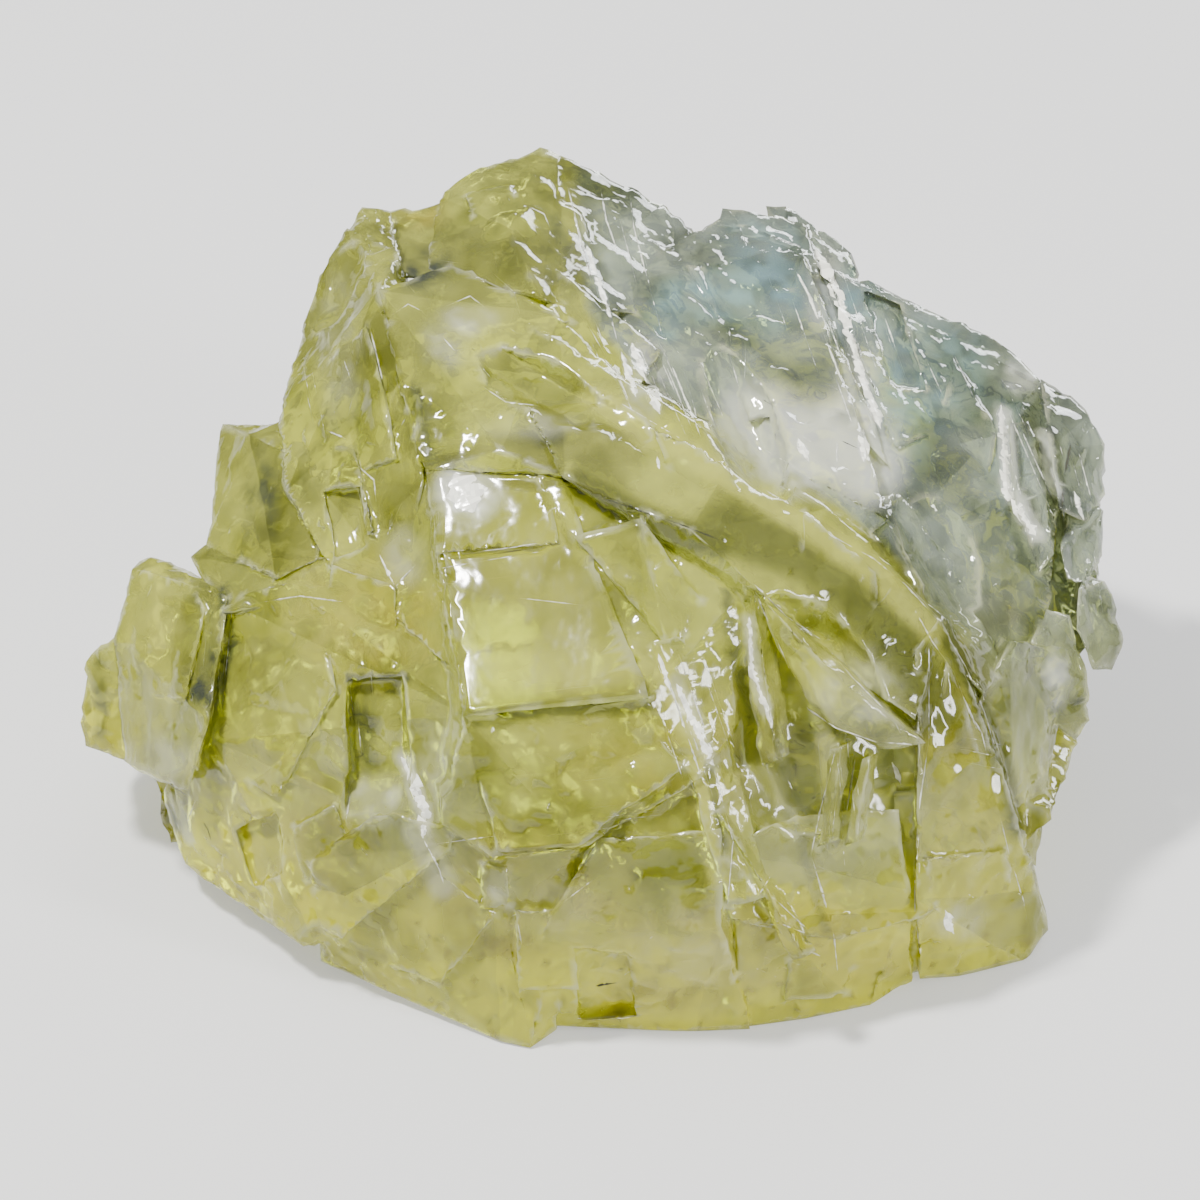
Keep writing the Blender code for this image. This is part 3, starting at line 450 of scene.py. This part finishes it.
class Nodes:
    """Adds nodes to a material's tree and links them."""

    def __init__(self, material):
        material.use_nodes = True
        self.tree = material.node_tree
        self.tree.nodes.clear()

    def add(self, kind, values=None, **settings):
        """A new node with its input values and settings."""
        node = self.tree.nodes.new(kind)
        for name, value in settings.items():
            setattr(node, name, value)
        set_inputs(node, values or {})
        return node

    def link(self, output, target):
        """Joins an output to an input."""
        self.tree.links.new(output, target)

    def attribute(self, name, output="Fac"):
        """A value that the mesh itself carries."""
        node = self.add("ShaderNodeAttribute", attribute_name=name)
        return node.outputs[output]

    def noise(self, place, scale):
        """One octave of noise."""
        node = self.add("ShaderNodeTexNoise", {"Scale": scale, "Detail": 0.0, "Roughness": 0.5})
        self.link(place, node.inputs["Vector"])
        return node.outputs["Fac"]

    def product(self, first, second):
        """Two outputs multiplied."""
        node = self.add("ShaderNodeMath", operation="MULTIPLY")
        self.link(first, node.inputs[0])
        self.link(second, node.inputs[1])
        return node.outputs["Value"]

    def mix_colour(self, share, first, second):
        """A colour between two plain ones, by an output. The colour sockets go by number."""
        node = self.add("ShaderNodeMix", data_type="RGBA")
        self.link(share, node.inputs[0])
        node.inputs[6].default_value = (*first, 1.0)
        node.inputs[7].default_value = (*second, 1.0)
        return node.outputs[2]

    def bump(self, height, strength, distance):
        """Normals of a surface with that relief."""
        node = self.add("ShaderNodeBump", {"Strength": strength, "Distance": distance})
        self.link(height, node.inputs["Height"])
        return node.outputs["Normal"]

    def turned(self, place, angles, scale):
        """The same place in axes that are turned and stretched, for streaks."""
        node = self.add(
            "ShaderNodeMapping", {"Rotation": [math.radians(a) for a in angles], "Scale": scale}
        )
        self.link(place, node.inputs["Vector"])
        return node.outputs["Vector"]


CRINKLE_TURN = (5, 22, 12)  # degrees
CRINKLE_SCALE = (1200, 1200, 320)  # waves to a metre
CRINKLE_HEIGHT = 0.00025
GRAIN_SCALE = 1400
GRAIN_HEIGHT = 0.0001
CRACK_COLOUR = (0.035, 0.035, 0.02)
# White of the cleavage edges, which also serves the painted glints and reflections.
EDGE_AND_GLINT_COLOUR = (1.0, 1.0, 0.88)


def calcite_material():
    """Glassy calcite whose colour, gloss and relief come from its own mesh, with fine streaks."""
    material = bpy.data.materials.new("clouded_calcite")
    nodes = Nodes(material)
    place = nodes.add("ShaderNodeTexCoord").outputs["Object"]
    tint = nodes.add("ShaderNodeVertexColor", layer_name="tint")
    finish = nodes.add("ShaderNodeSeparateXYZ")
    nodes.link(nodes.attribute("finish", "Vector"), finish.inputs[0])
    crinkle = nodes.noise(nodes.turned(place, CRINKLE_TURN, CRINKLE_SCALE), 1.0)
    height = nodes.product(crinkle, finish.outputs["Y"])
    surface = nodes.add(
        "ShaderNodeBsdfPrincipled",
        {"Metallic": 0.0, "IOR": 1.5, "Transmission Weight": 0.64},
    )
    nodes.link(tint.outputs["Color"], surface.inputs["Base Color"])
    nodes.link(finish.outputs["X"], surface.inputs["Roughness"])
    nodes.link(nodes.bump(height, 1.0, CRINKLE_HEIGHT), surface.inputs["Normal"])
    depth = nodes.add(
        "ShaderNodeVolumeAbsorption", {"Color": (0.90, 0.93, 0.24, 1.0), "Density": 40.0}
    )
    output = nodes.add("ShaderNodeOutputMaterial")
    nodes.link(surface.outputs["BSDF"], output.inputs["Surface"])
    nodes.link(depth.outputs["Volume"], output.inputs["Volume"])
    return material


def line_material():
    """Bright, broken cleavage edges that are partly painted glints and reflections, and dark cracks
    where the line attribute is 0.
    """
    material = bpy.data.materials.new("cleavage_edge_and_glint")
    nodes = Nodes(material)
    colour = nodes.mix_colour(nodes.attribute("bright"), CRACK_COLOUR, EDGE_AND_GLINT_COLOUR)
    surface = nodes.add(
        "ShaderNodeBsdfPrincipled", {"Metallic": 0.0, "IOR": 1.6, "Roughness": 0.15}
    )
    place = nodes.add("ShaderNodeTexCoord").outputs["Object"]
    grain = nodes.bump(nodes.noise(place, GRAIN_SCALE), 0.5, GRAIN_HEIGHT)
    nodes.link(grain, surface.inputs["Normal"])
    nodes.link(colour, surface.inputs["Base Color"])
    output = nodes.add("ShaderNodeOutputMaterial")
    nodes.link(surface.outputs["BSDF"], output.inputs["Surface"])
    return material


FLAT_ANGLE = math.radians(0.5)  # faces that meet at less than this are one facet
FACET_GRAIN = 0.0004  # facets whose planes are nearer than this count as one
NORMAL_STEPS = 20  # steps in which the facets' normals are told apart
FACET_NUMBERS = 100003
FACING = 0.05  # faces whose normal leans this much towards the eye are on the display side
WELD = 0.000001
REFINE_ROUNDS = 4


def mark_facets(shape):
    """Gives the solid's triangles a number for each flat facet that they belong to."""
    number = shape.faces.layers.int.new("facet")
    for face in shape.faces:
        normal = face.normal
        offset = round(normal.dot(face.calc_center_median()) / FACET_GRAIN)
        leaning = [round(part * NORMAL_STEPS) for part in normal]
        face[number] = hash((*leaning, offset)) % FACET_NUMBERS


def drop_doubled_faces(shape):
    """Takes out the doubled faces that cutting leaves behind."""
    alike = {}
    for face in shape.faces:
        alike.setdefault(frozenset(face.verts), []).append(face)
    doubled = []
    for faces in alike.values():
        if len(faces) > 1:
            closed = all(len(edge.link_faces) % 2 == 0 for edge in faces[0].edges)
            doubled += faces if closed else faces[1:]
    bmesh.ops.delete(shape, geom=doubled, context="FACES")


def refined_copy(source, fine, coarse):
    """The solid's mesh with its facets cut into small, even triangles."""
    shape = bmesh.new()
    shape.from_mesh(source.data)
    bmesh.ops.remove_doubles(shape, verts=shape.verts, dist=WELD)
    bmesh.ops.triangulate(shape, faces=shape.faces)
    mark_facets(shape)
    near = Vector(NEAR)
    for _ in range(REFINE_ROUNDS):
        long_edges = []
        for edge in shape.edges:
            fronts = any(face.normal.dot(near) > FACING for face in edge.link_faces)
            if edge.calc_length() > (fine if fronts else coarse):
                long_edges.append(edge)
        if not long_edges:
            break
        bmesh.ops.subdivide_edges(shape, edges=long_edges, cuts=1)
        bmesh.ops.triangulate(shape, faces=shape.faces)
        flat = [edge for edge in shape.edges if edge.calc_face_angle(0) < FLAT_ANGLE]
        bmesh.ops.beautify_fill(shape, faces=shape.faces, edges=flat, method="ANGLE")
    drop_doubled_faces(shape)
    mesh = bpy.data.meshes.new("calcite_crystal")
    shape.to_mesh(mesh)
    shape.free()
    crystal = bpy.data.objects.new("calcite_crystal", mesh)
    bpy.context.scene.collection.objects.link(crystal)
    return crystal


def read_points(mesh):
    """The mesh's points, as an array."""
    points = np.empty(len(mesh.vertices) * 3, np.float32)
    mesh.vertices.foreach_get("co", points)
    return points.reshape(-1, 3).astype(float)


def write_points(mesh, points):
    """Moves the mesh's points."""
    mesh.vertices.foreach_set("co", points.astype(np.float32).ravel())
    mesh.update()


def read_normals(mesh):
    """The normals at the mesh's points, as an array."""
    normals = np.empty(len(mesh.vertices) * 3, np.float32)
    mesh.vertex_normals.foreach_get("vector", normals)
    return normals.reshape(-1, 3).astype(float)


NOISE_TABLE = 4096  # how many random numbers a noise uses
CHIP_SPREAD = 0.45
CHIP_RISE = 0.3


def scatter(cell, count):
    """A number below count for each whole-number place, as if at random."""
    mixed = (cell[:, 0] * 73856093) ^ (cell[:, 1] * 19349663) ^ (cell[:, 2] * 83492791)
    return mixed % count


def value_noise(points, seed):
    """Smooth noise from -1 to 1 at each point, one wave per unit."""
    table = np.random.default_rng(seed).uniform(-1, 1, NOISE_TABLE)
    cell = np.floor(points).astype(int)
    part = points - cell
    part = part * part * (3 - 2 * part)
    total = np.zeros(len(points))
    for step in itertools.product((0, 1), repeat=3):
        weight = np.prod(np.where(np.array(step) == 1, part, 1 - part), axis=1)
        total += weight * table[scatter(cell + step, NOISE_TABLE)]
    return total


def chips(points, seed):
    """Flat chips about one unit wide, each leaning its own way, as heights about 0."""
    table = np.random.default_rng(seed).uniform(-1, 1, (NOISE_TABLE, 7))
    cell = np.floor(points).astype(int)
    nearest = np.full(len(points), FAR)
    height = np.zeros(len(points))
    for step in itertools.product((-1, 0, 1), repeat=3):
        lot = table[scatter(cell + step, NOISE_TABLE)]
        away = points - (cell + step + 0.5 + CHIP_SPREAD * lot[:, :3])
        far = (away ** 2).sum(axis=1)
        leaning = (away * lot[:, 3:6]).sum(axis=1) + CHIP_RISE * lot[:, 6]
        height = np.where(far < nearest, leaning, height)
        nearest = np.minimum(nearest, far)
    return height


def mix(share, first, second):
    """Blends two colours, or a colour for each point, by a share for each point."""
    return np.asarray(first) * (1 - share[:, None]) + np.asarray(second) * share[:, None]


# Sizes of the weathering's waves, steps, pits, chips and drift, and of the clouds, veils, specks and
# the breaks in the painted edge highlights, in millimetres. Each noise's second number is its seed.
WAVES = (8.0, 3.1)
STEPS = (2.4, 5.0, 14.0)
STEP_AXES = ((0.93, 0.0, 0.37), (0.0, 1.0, 0.0), (-0.37, 0.0, 0.93))
STEP_LEVELS = 4
PITS = 2.2
CHIPS = (4.0, 2.2)
DRIFTS = (3.7, 1.4)
CLOUD_SIZES = (9.0, 4.2, 1.9)
VEILS = 1.5
SPECKS = 0.9
HIGHLIGHT_BREAKS = 1.6

# Heights over the base, in millimetres, between which a look sets in.
WEATHERED = (0.4, 2.0)
CRINKLED = (0.3, 1.5)
# Heights where the painted glow towards the base sets in.
GLOWING = (22, 8)
SPECKLED = (26, 8)
TONED_AREAS = (2, 14)  # square millimetres: smaller facets have no shade of their own
REAR_FADES = (52, 30)  # up the display plane, where the clear rear turns yellower

# An outward edge sharper than this gets a painted highlight along it.
HIGHLIGHT_EDGE_ANGLE = 18  # degrees at which an outward edge begins to show a rim
HIGHLIGHT_EDGE_RANGE = 25  # degrees from there to a full rim


def read_edge_highlights(mesh):
    """1 for the points on sharp outward edges, which get a painted highlight along them."""
    shape = bmesh.new()
    shape.from_mesh(mesh)
    edge_highlight = np.zeros(len(shape.verts))
    for edge in shape.edges:
        angle = math.degrees(edge.calc_face_angle_signed(0))
        if angle > HIGHLIGHT_EDGE_ANGLE:
            share = min(1.0, (angle - HIGHLIGHT_EDGE_ANGLE) / HIGHLIGHT_EDGE_RANGE)
            for vertex in edge.verts:
                edge_highlight[vertex.index] = max(edge_highlight[vertex.index], share)
    shape.free()
    return edge_highlight


def read_tones(mesh):
    """A shade for each face, the same all over each of the larger facets."""
    facet = np.empty(len(mesh.polygons), np.int32)
    mesh.attributes["facet"].data.foreach_get("value", facet)
    area = np.empty(len(mesh.polygons), np.float32)
    mesh.polygons.foreach_get("area", area)
    total = np.bincount(facet, weights=area, minlength=FACET_NUMBERS) / MM / MM
    tones = np.random.default_rng(41).uniform(-0.5, 0.5, FACET_NUMBERS)
    return tones[facet] * smooth(*TONED_AREAS, total[facet])


def read_places(mesh):
    """Each point's share of clear rear, satin face and every kind of cloud, painted shade and painted
    highlights among them, and its height.
    """
    points = read_points(mesh)
    right, up, _ = seen_from_eye(points)
    veil = 0.35 + 0.65 * smooth(-0.35, 0.35, value_noise(points / MM / VEILS, 81))
    front = smooth(-0.25, 0.15, read_normals(mesh) @ NEAR)
    edge = np.interp(up, CLEAR_EDGE_UP, CLEAR_EDGE_RIGHT)
    places = {"height": points[:, 2] / MM}
    places["clear"] = smooth(-0.8, 0.8, right - edge) * (1 - 0.7 * smooth(*REAR_FADES, up))
    places["satin"] = inside(right, up, SATIN_FACE, 0.6) * front
    for name, clouds in CLOUDS.items():
        total = np.zeros(len(right))
        for middle, half_sizes, strength in clouds:
            total += strength * veil * patch(right, up, middle, half_sizes)
        for half_width, strength, *bends in BANDS.get(name, ()):
            total = np.maximum(total, strength * band(right, up, half_width, bends))
        places[name] = np.clip(total * front, 0, 1)
    return places


def weather(mesh, wear, places):
    """Waves, cleavage steps, chips and pits on the faces."""
    points = read_points(mesh)
    normals = read_normals(mesh)
    spots = points / MM
    wave = value_noise(spots / WAVES[0], 3) + 0.4 * value_noise(spots / WAVES[1], 5)
    steep = spots @ np.array(STEP_AXES)
    terrace = value_noise(steep / np.array(STEPS), 7)
    terrace = np.round(terrace * STEP_LEVELS) / STEP_LEVELS
    pit = smooth(0.66, 0.85, value_noise(spots / PITS, 13))
    chip = chips(spots / CHIPS[0], 61) + 0.5 * chips(spots / CHIPS[1], 62)
    height = wear * (0.5 * wave + 0.7 * terrace - 1.2 * pit + 2.2 * chip)
    height *= 1 - 0.85 * places["satin"]
    move = normals * height[:, None]
    for axis in range(3):
        move[:, axis] += wear * 0.9 * value_noise(spots / DRIFTS[0], 21 + axis)
        move[:, axis] += wear * 0.4 * value_noise(spots / DRIFTS[1], 31 + axis)
    move *= smooth(*WEATHERED, spots[:, 2])[:, None]
    write_points(mesh, points + move)


def write_tints(mesh, looks, places):
    """Colour of every face's corners: facet tones, clouds, bands, specks, a painted glow near the
    base and painted highlights along sharp outward edges.
    """
    corner_points = np.empty(len(mesh.loops), np.int32)
    mesh.loops.foreach_get("vertex_index", corner_points)
    spots = read_points(mesh) / MM
    wide, middling, small = CLOUD_SIZES
    cloud = value_noise(spots / wide, 51) + 0.6 * value_noise(spots / middling, 52)
    cloud += 0.7 * value_noise(spots / small, 53)
    tones = np.repeat(read_tones(mesh), 3)
    here = {name: values[corner_points] for name, values in places.items()}
    shade = 0.5 + 0.5 * tones * (1 - 0.8 * here["satin"]) + 0.36 * cloud[corner_points]
    shade = np.clip(shade, 0, 1)
    yellow = mix(shade, looks.dark_yellow, looks.pale_yellow)
    # Painted glow: brighter yellow towards the base, for light shining through the thin lower part.
    yellow = mix((0.2 + 0.8 * shade) * smooth(*GLOWING, here["height"]), yellow, looks.glow)
    yellow = mix(here["amber"], yellow, looks.amber)
    glass = mix(shade, looks.dark_glass, looks.pale_glass)
    glass = mix(here["blue"], glass, looks.blue)
    tint = mix(here["clear"], yellow, glass)
    tint = mix(0.6 * here["satin"], tint, looks.satin)
    speck = smooth(0.55, 0.8, value_noise(spots / SPECKS, 59))[corner_points]
    tint = mix(0.5 * speck * smooth(*SPECKLED, here["height"]), tint, looks.stain)
    # Clouds and bands, with painted shade and painted highlights among them.
    for name in ("olive", "pale", "painted_shade", "milky_and_highlight", "frost_and_glare", "stain"):
        tint = mix(here[name], tint, getattr(looks, name))
    broken = smooth(-0.3, 0.3, value_noise(spots / HIGHLIGHT_BREAKS, 57))
    edge_highlight = (read_edge_highlights(mesh) * broken)[corner_points]
    # Painted highlight along sharp outward edges, broken here and there, in the milky colour.
    tint = mix(0.55 * edge_highlight, tint, looks.milky_and_highlight)
    layer = mesh.color_attributes.new("tint", "FLOAT_COLOR", "CORNER")
    values = np.column_stack([tint, np.ones(len(tint))]).astype(np.float32)
    layer.data.foreach_set("color", values.ravel())


def write_finish(mesh, places):
    """Roughness and height of the crinkles at every point. The third number isn't used."""
    clear, satin = places["clear"], places["satin"]
    off_base = smooth(*CRINKLED, places["height"])
    roughness = 0.11 - 0.06 * clear + 0.02 * satin - 0.04 * places["painted_shade"]
    crinkle = (0.15 + 0.02 * clear - 0.07 * satin) * off_base
    layer = mesh.attributes.new("finish", "FLOAT_VECTOR", "POINT")
    values = np.column_stack([roughness, crinkle, np.zeros(len(clear))]).astype(np.float32)
    layer.data.foreach_set("vector", values.ravel())


def place_on(piece):
    """A function that gives the place and the normal of piece's face under a (right, up) spot."""
    mesh = piece.data
    tree = BVHTree.FromPolygons(
        [vertex.co for vertex in mesh.vertices], [face.vertices for face in mesh.polygons]
    )
    eye = shown(0, EYE_UP, EYE_DISTANCE)

    def spot(right, up):
        place, normal, _, _ = tree.ray_cast(eye, (shown(right, up, 0) - eye).normalized())
        return place, normal

    return spot


def flatten_satin(crystal, satin):
    """Brings the satin face's plates near to one plane."""
    spot = place_on(crystal)
    seen = np.array([spot(*place)[0] for place in SATIN_SPOTS])
    middle = seen.mean(axis=0)
    normal = np.linalg.svd(seen - middle)[2][2]
    points = read_points(crystal.data)
    gap = (middle - points) @ normal
    share = SATIN_FLATNESS * satin * smooth(*SATIN_DEPTHS, np.abs(gap) / MM)
    write_points(crystal.data, points + normal * (gap * share)[:, None])


def along(places, spacing):
    """Even steps along a line through (right, up) places."""
    steps = []
    for (r0, u0), (r1, u1) in zip(places, places[1:]):
        count = max(1, round(math.hypot(r1 - r0, u1 - u0) / spacing))
        steps += [(r0 + (r1 - r0) * n / count, u0 + (u1 - u0) * n / count) for n in range(count)]
    return steps + [places[-1]]


# Cleavage lines, in millimetres: spacing of their sections, height, depth under the face and the
# share of their width that is built. Lines over WIDE_LINE aren't broken.
LINE_STEP = 0.45
LINE_RISE = 0.14
LINE_SINK = 0.05
WIDE_LINE = 0.7
SLIM_SHARE = 0.75
WIDE_SHARE = 1.2
WANDER_LENGTH = 2.4
TAPER_STEPS = 2.5
SHINY_LINE = 0.55  # bright lines wider than this have their full brightness


def add_line(shape, bright, spot, width, places, rng):
    """A thin three-sided strip that lies on the crystal along a line."""
    found = [spot(*place) for place in along(places, LINE_STEP)]
    found = [(place, normal) for place, normal in found if place is not None]
    rings = []
    if len(found) < 2:
        return
    steps = np.arange(len(found))[:, None] * [LINE_STEP / WANDER_LENGTH, 0, 0] + rng.uniform(0, 99, 3)
    wander = value_noise(steps, 71)
    for number, (place, normal) in enumerate(found):
        before = found[max(0, number - 1)][0]
        after = found[min(len(found) - 1, number + 1)][0]
        side = (after - before).normalized().cross(normal).normalized()
        taper = min(1.0, (min(number, len(found) - 1 - number) + 0.3) / TAPER_STEPS)
        gap = 1.0 if width > WIDE_LINE else smooth(-0.5, 0.3, wander[number])
        slim = WIDE_SHARE if width > WIDE_LINE else SLIM_SHARE
        half = 0.5 * width * slim * MM * taper * rng.uniform(0.7, 1.1) * max(0.08, gap)
        rise = min(LINE_RISE * MM, half) * rng.uniform(0.6, 1.2)
        corners = (place + side * half, place + normal * rise, place - side * half)
        rings.append([shape.verts.new(corner - normal * LINE_SINK * MM) for corner in corners])
    faces = [shape.faces.new(rings[0]), shape.faces.new(reversed(rings[-1]))]
    for near_ring, far_ring in zip(rings, rings[1:]):
        for a, b in ((0, 1), (1, 2), (2, 0)):
            faces.append(shape.faces.new((near_ring[a], far_ring[a], far_ring[b], near_ring[b])))
    layer = shape.faces.layers.float["bright"]
    for face in faces:
        face[layer] = bright * rng.uniform(0.6, 1.0)


def striation_lines(striation, rng):
    """The width and the ends of each line of a set of fine parallel lines."""
    count, (right, up), spread, length, (run, rise), width = striation
    for _ in range(count):
        across = rng.uniform(-1, 1) * spread
        shift = rng.normal(0, 0.3) * length
        half = 0.5 * length * rng.uniform(0.3, 1.0)
        r = right - across * rise + shift * run
        u = up + across * run + shift * rise
        ends = ((r - run * half, u - rise * half), (r + run * half, u + rise * half))
        yield width * rng.uniform(0.7, 1.6), ends


class CALCITE_OT_crystal(Operator):
    """Build the weathered, clouded crystal in place of the plain solid"""

    bl_idname = "calcite.crystal"
    bl_label = "Crystal"

    def execute(self, context):
        looks = context.scene.calcite_looks
        crystal = refined_copy(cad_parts[NODE], looks.fine_edge, looks.coarse_edge)
        places = read_places(crystal.data)
        write_tints(crystal.data, looks, places)
        write_finish(crystal.data, places)
        flatten_satin(crystal, places["satin"])
        weather(crystal.data, looks.wear, places)
        crystal.data.shade_smooth()
        crystal.data.materials.clear()
        crystal.data.materials.append(calcite_material())
        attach(crystal, "root")
        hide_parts(NODE)
        return {"FINISHED"}


class CALCITE_OT_lines(Operator):
    """Build the bright cleavage edges, partly painted glints and reflections, and the dark cracks on
    the crystal
    """

    bl_idname = "calcite.lines"
    bl_label = "Cleavage lines"

    def execute(self, context):
        spot = place_on(bpy.data.objects["calcite_crystal"])
        rng = np.random.default_rng(7)
        shape = bmesh.new()
        shape.faces.layers.float.new("bright")
        for bright, lines in ((1.0, GLINT_AND_CLEAVAGE_LINES), (0.0, DARK_LINES)):
            for width, *places in lines:
                shine = bright if width > SHINY_LINE else 0.7 * bright
                add_line(shape, shine, spot, width, places, rng)
        for striation in STRIATIONS:
            for width, places in striation_lines(striation, rng):
                add_line(shape, rng.uniform(0.5, 1.0), spot, width, places, rng)
        bmesh.ops.recalc_face_normals(shape, faces=shape.faces)
        mesh = bpy.data.meshes.new("cleavage_lines")
        shape.to_mesh(mesh)
        shape.free()
        lines = bpy.data.objects.new("cleavage_lines", mesh)
        context.scene.collection.objects.link(lines)
        mesh.materials.append(line_material())
        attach(lines, "root")
        return {"FINISHED"}


# Lights: name, place and size in metres, power in watts, and colour.
LIGHTS = (
    ("key_light", (-0.265, -0.11, 0.62), (0.08, 0.08), 9.0, (1, 0.99, 0.96)),
    ("back_light", (0.30, 0.60, 0.22), (0.35, 0.20), 3.5, (0.95, 0.98, 1)),
    ("side_light", (0.55, -0.35, 0.25), (0.10, 0.30), 4.0, (1, 1, 1)),
)
LIT_PLACE = (0, 0, 0.02)
HORIZON_LIGHT = 0.14
OVERHEAD_LIGHT = 1.0
FLOOR_GLOW = 0.48
FLOOR_HALF = 3.0
FLOOR_GAP = 0.0002


def soft_light(name, place, target, size, power, colour):
    """An area light that faces a target."""
    lamp = bpy.data.lights.new(name, "AREA")
    lamp.shape = "RECTANGLE"
    lamp.size, lamp.size_y = size
    lamp.energy = power
    lamp.color = colour
    light = bpy.data.objects.new(name, lamp)
    light.location = place
    light.rotation_euler = (Vector(target) - Vector(place)).to_track_quat("-Z", "Y").to_euler()
    bpy.context.scene.collection.objects.link(light)
    return light


def sky_gradient(tree):
    """A room that is bright overhead and dim at the horizon."""
    place = tree.nodes.new("ShaderNodeTexCoord")
    height = tree.nodes.new("ShaderNodeSeparateXYZ")
    ramp = tree.nodes.new("ShaderNodeMapRange")
    set_inputs(ramp, {"From Min": 0.0, "From Max": 0.9})
    set_inputs(ramp, {"To Min": HORIZON_LIGHT, "To Max": OVERHEAD_LIGHT})
    background = tree.nodes["Background"]
    tree.links.new(place.outputs["Generated"], height.inputs[0])
    tree.links.new(height.outputs["Z"], ramp.inputs["Value"])
    tree.links.new(ramp.outputs["Result"], background.inputs["Strength"])
    background.inputs["Color"].default_value = (1, 1, 1, 1)


def floor_material(looks):
    """Plain pale paper, lit a little from below as a light table is."""
    material = bpy.data.materials.new("studio_floor")
    nodes = Nodes(material)
    surface = nodes.add("ShaderNodeBsdfDiffuse", {"Color": (*looks.floor_colour, 1.0)})
    glow = nodes.add("ShaderNodeEmission", {"Color": (1, 1, 1, 1), "Strength": FLOOR_GLOW})
    both = nodes.add("ShaderNodeAddShader")
    nodes.link(surface.outputs["BSDF"], both.inputs[0])
    nodes.link(glow.outputs["Emission"], both.inputs[1])
    output = nodes.add("ShaderNodeOutputMaterial")
    nodes.link(both.outputs["Shader"], output.inputs["Surface"])
    return material


class CALCITE_OT_stage(Operator):
    """Build the floor, the lights, the world and the camera"""

    bl_idname = "calcite.stage"
    bl_label = "Stage"

    def execute(self, context):
        looks = context.scene.calcite_looks
        sheet = bpy.data.meshes.new("floor")
        shape = bmesh.new()
        bmesh.ops.create_grid(shape, x_segments=1, y_segments=1, size=FLOOR_HALF)
        shape.to_mesh(sheet)
        shape.free()
        floor = bpy.data.objects.new("floor", sheet)
        floor.location = (0, 0, -FLOOR_GAP)
        floor.data.materials.append(floor_material(looks))
        context.scene.collection.objects.link(floor)
        world = bpy.data.worlds.new("soft_room")
        context.scene.world = world
        world.use_nodes = True
        sky_gradient(world.node_tree)
        for name, place, size, power, colour in LIGHTS:
            soft_light(name, place, LIT_PLACE, size, power, colour)
        lens = bpy.data.cameras.new("camera")
        lens.sensor_width = SENSOR_WIDTH
        lens.lens = SENSOR_WIDTH * EYE_DISTANCE / PICTURE_WIDTH
        camera = bpy.data.objects.new("camera", lens)
        camera.location = shown(0, EYE_UP, 0) + Vector(NEAR) * EYE_DISTANCE * MM
        camera.rotation_euler = (-Vector(NEAR)).to_track_quat("-Z", "Y").to_euler()
        context.scene.collection.objects.link(camera)
        context.scene.camera = camera
        return {"FINISHED"}


class CALCITE_PT_panel(Panel):
    """Lists the cluster's pieces and looks in the sidebar"""

    bl_idname = "CALCITE_PT_panel"
    bl_label = "Calcite Cluster"
    bl_space_type = "VIEW_3D"
    bl_region_type = "UI"
    bl_category = "Calcite"

    def draw(self, context):
        looks = context.scene.calcite_looks
        column = self.layout.column()
        for name in looks.bl_rna.properties.keys():
            if name not in ("rna_type", "name"):
                column.prop(looks, name)
        column.operator(CALCITE_OT_crystal.bl_idname)
        column.operator(CALCITE_OT_lines.bl_idname)
        column.operator(CALCITE_OT_stage.bl_idname)


CLASSES = (
    CalciteLooks,
    CALCITE_OT_crystal,
    CALCITE_OT_lines,
    CALCITE_OT_stage,
    CALCITE_PT_panel,
)


def register():
    for each in CLASSES:
        bpy.utils.register_class(each)
    bpy.types.Scene.calcite_looks = PointerProperty(type=CalciteLooks)


def unregister():
    del bpy.types.Scene.calcite_looks
    for each in reversed(CLASSES):
        bpy.utils.unregister_class(each)


def main():
    register()
    bpy.ops.calcite.crystal()
    bpy.ops.calcite.lines()
    bpy.ops.calcite.stage()


if __name__ == "__main__":
    main()
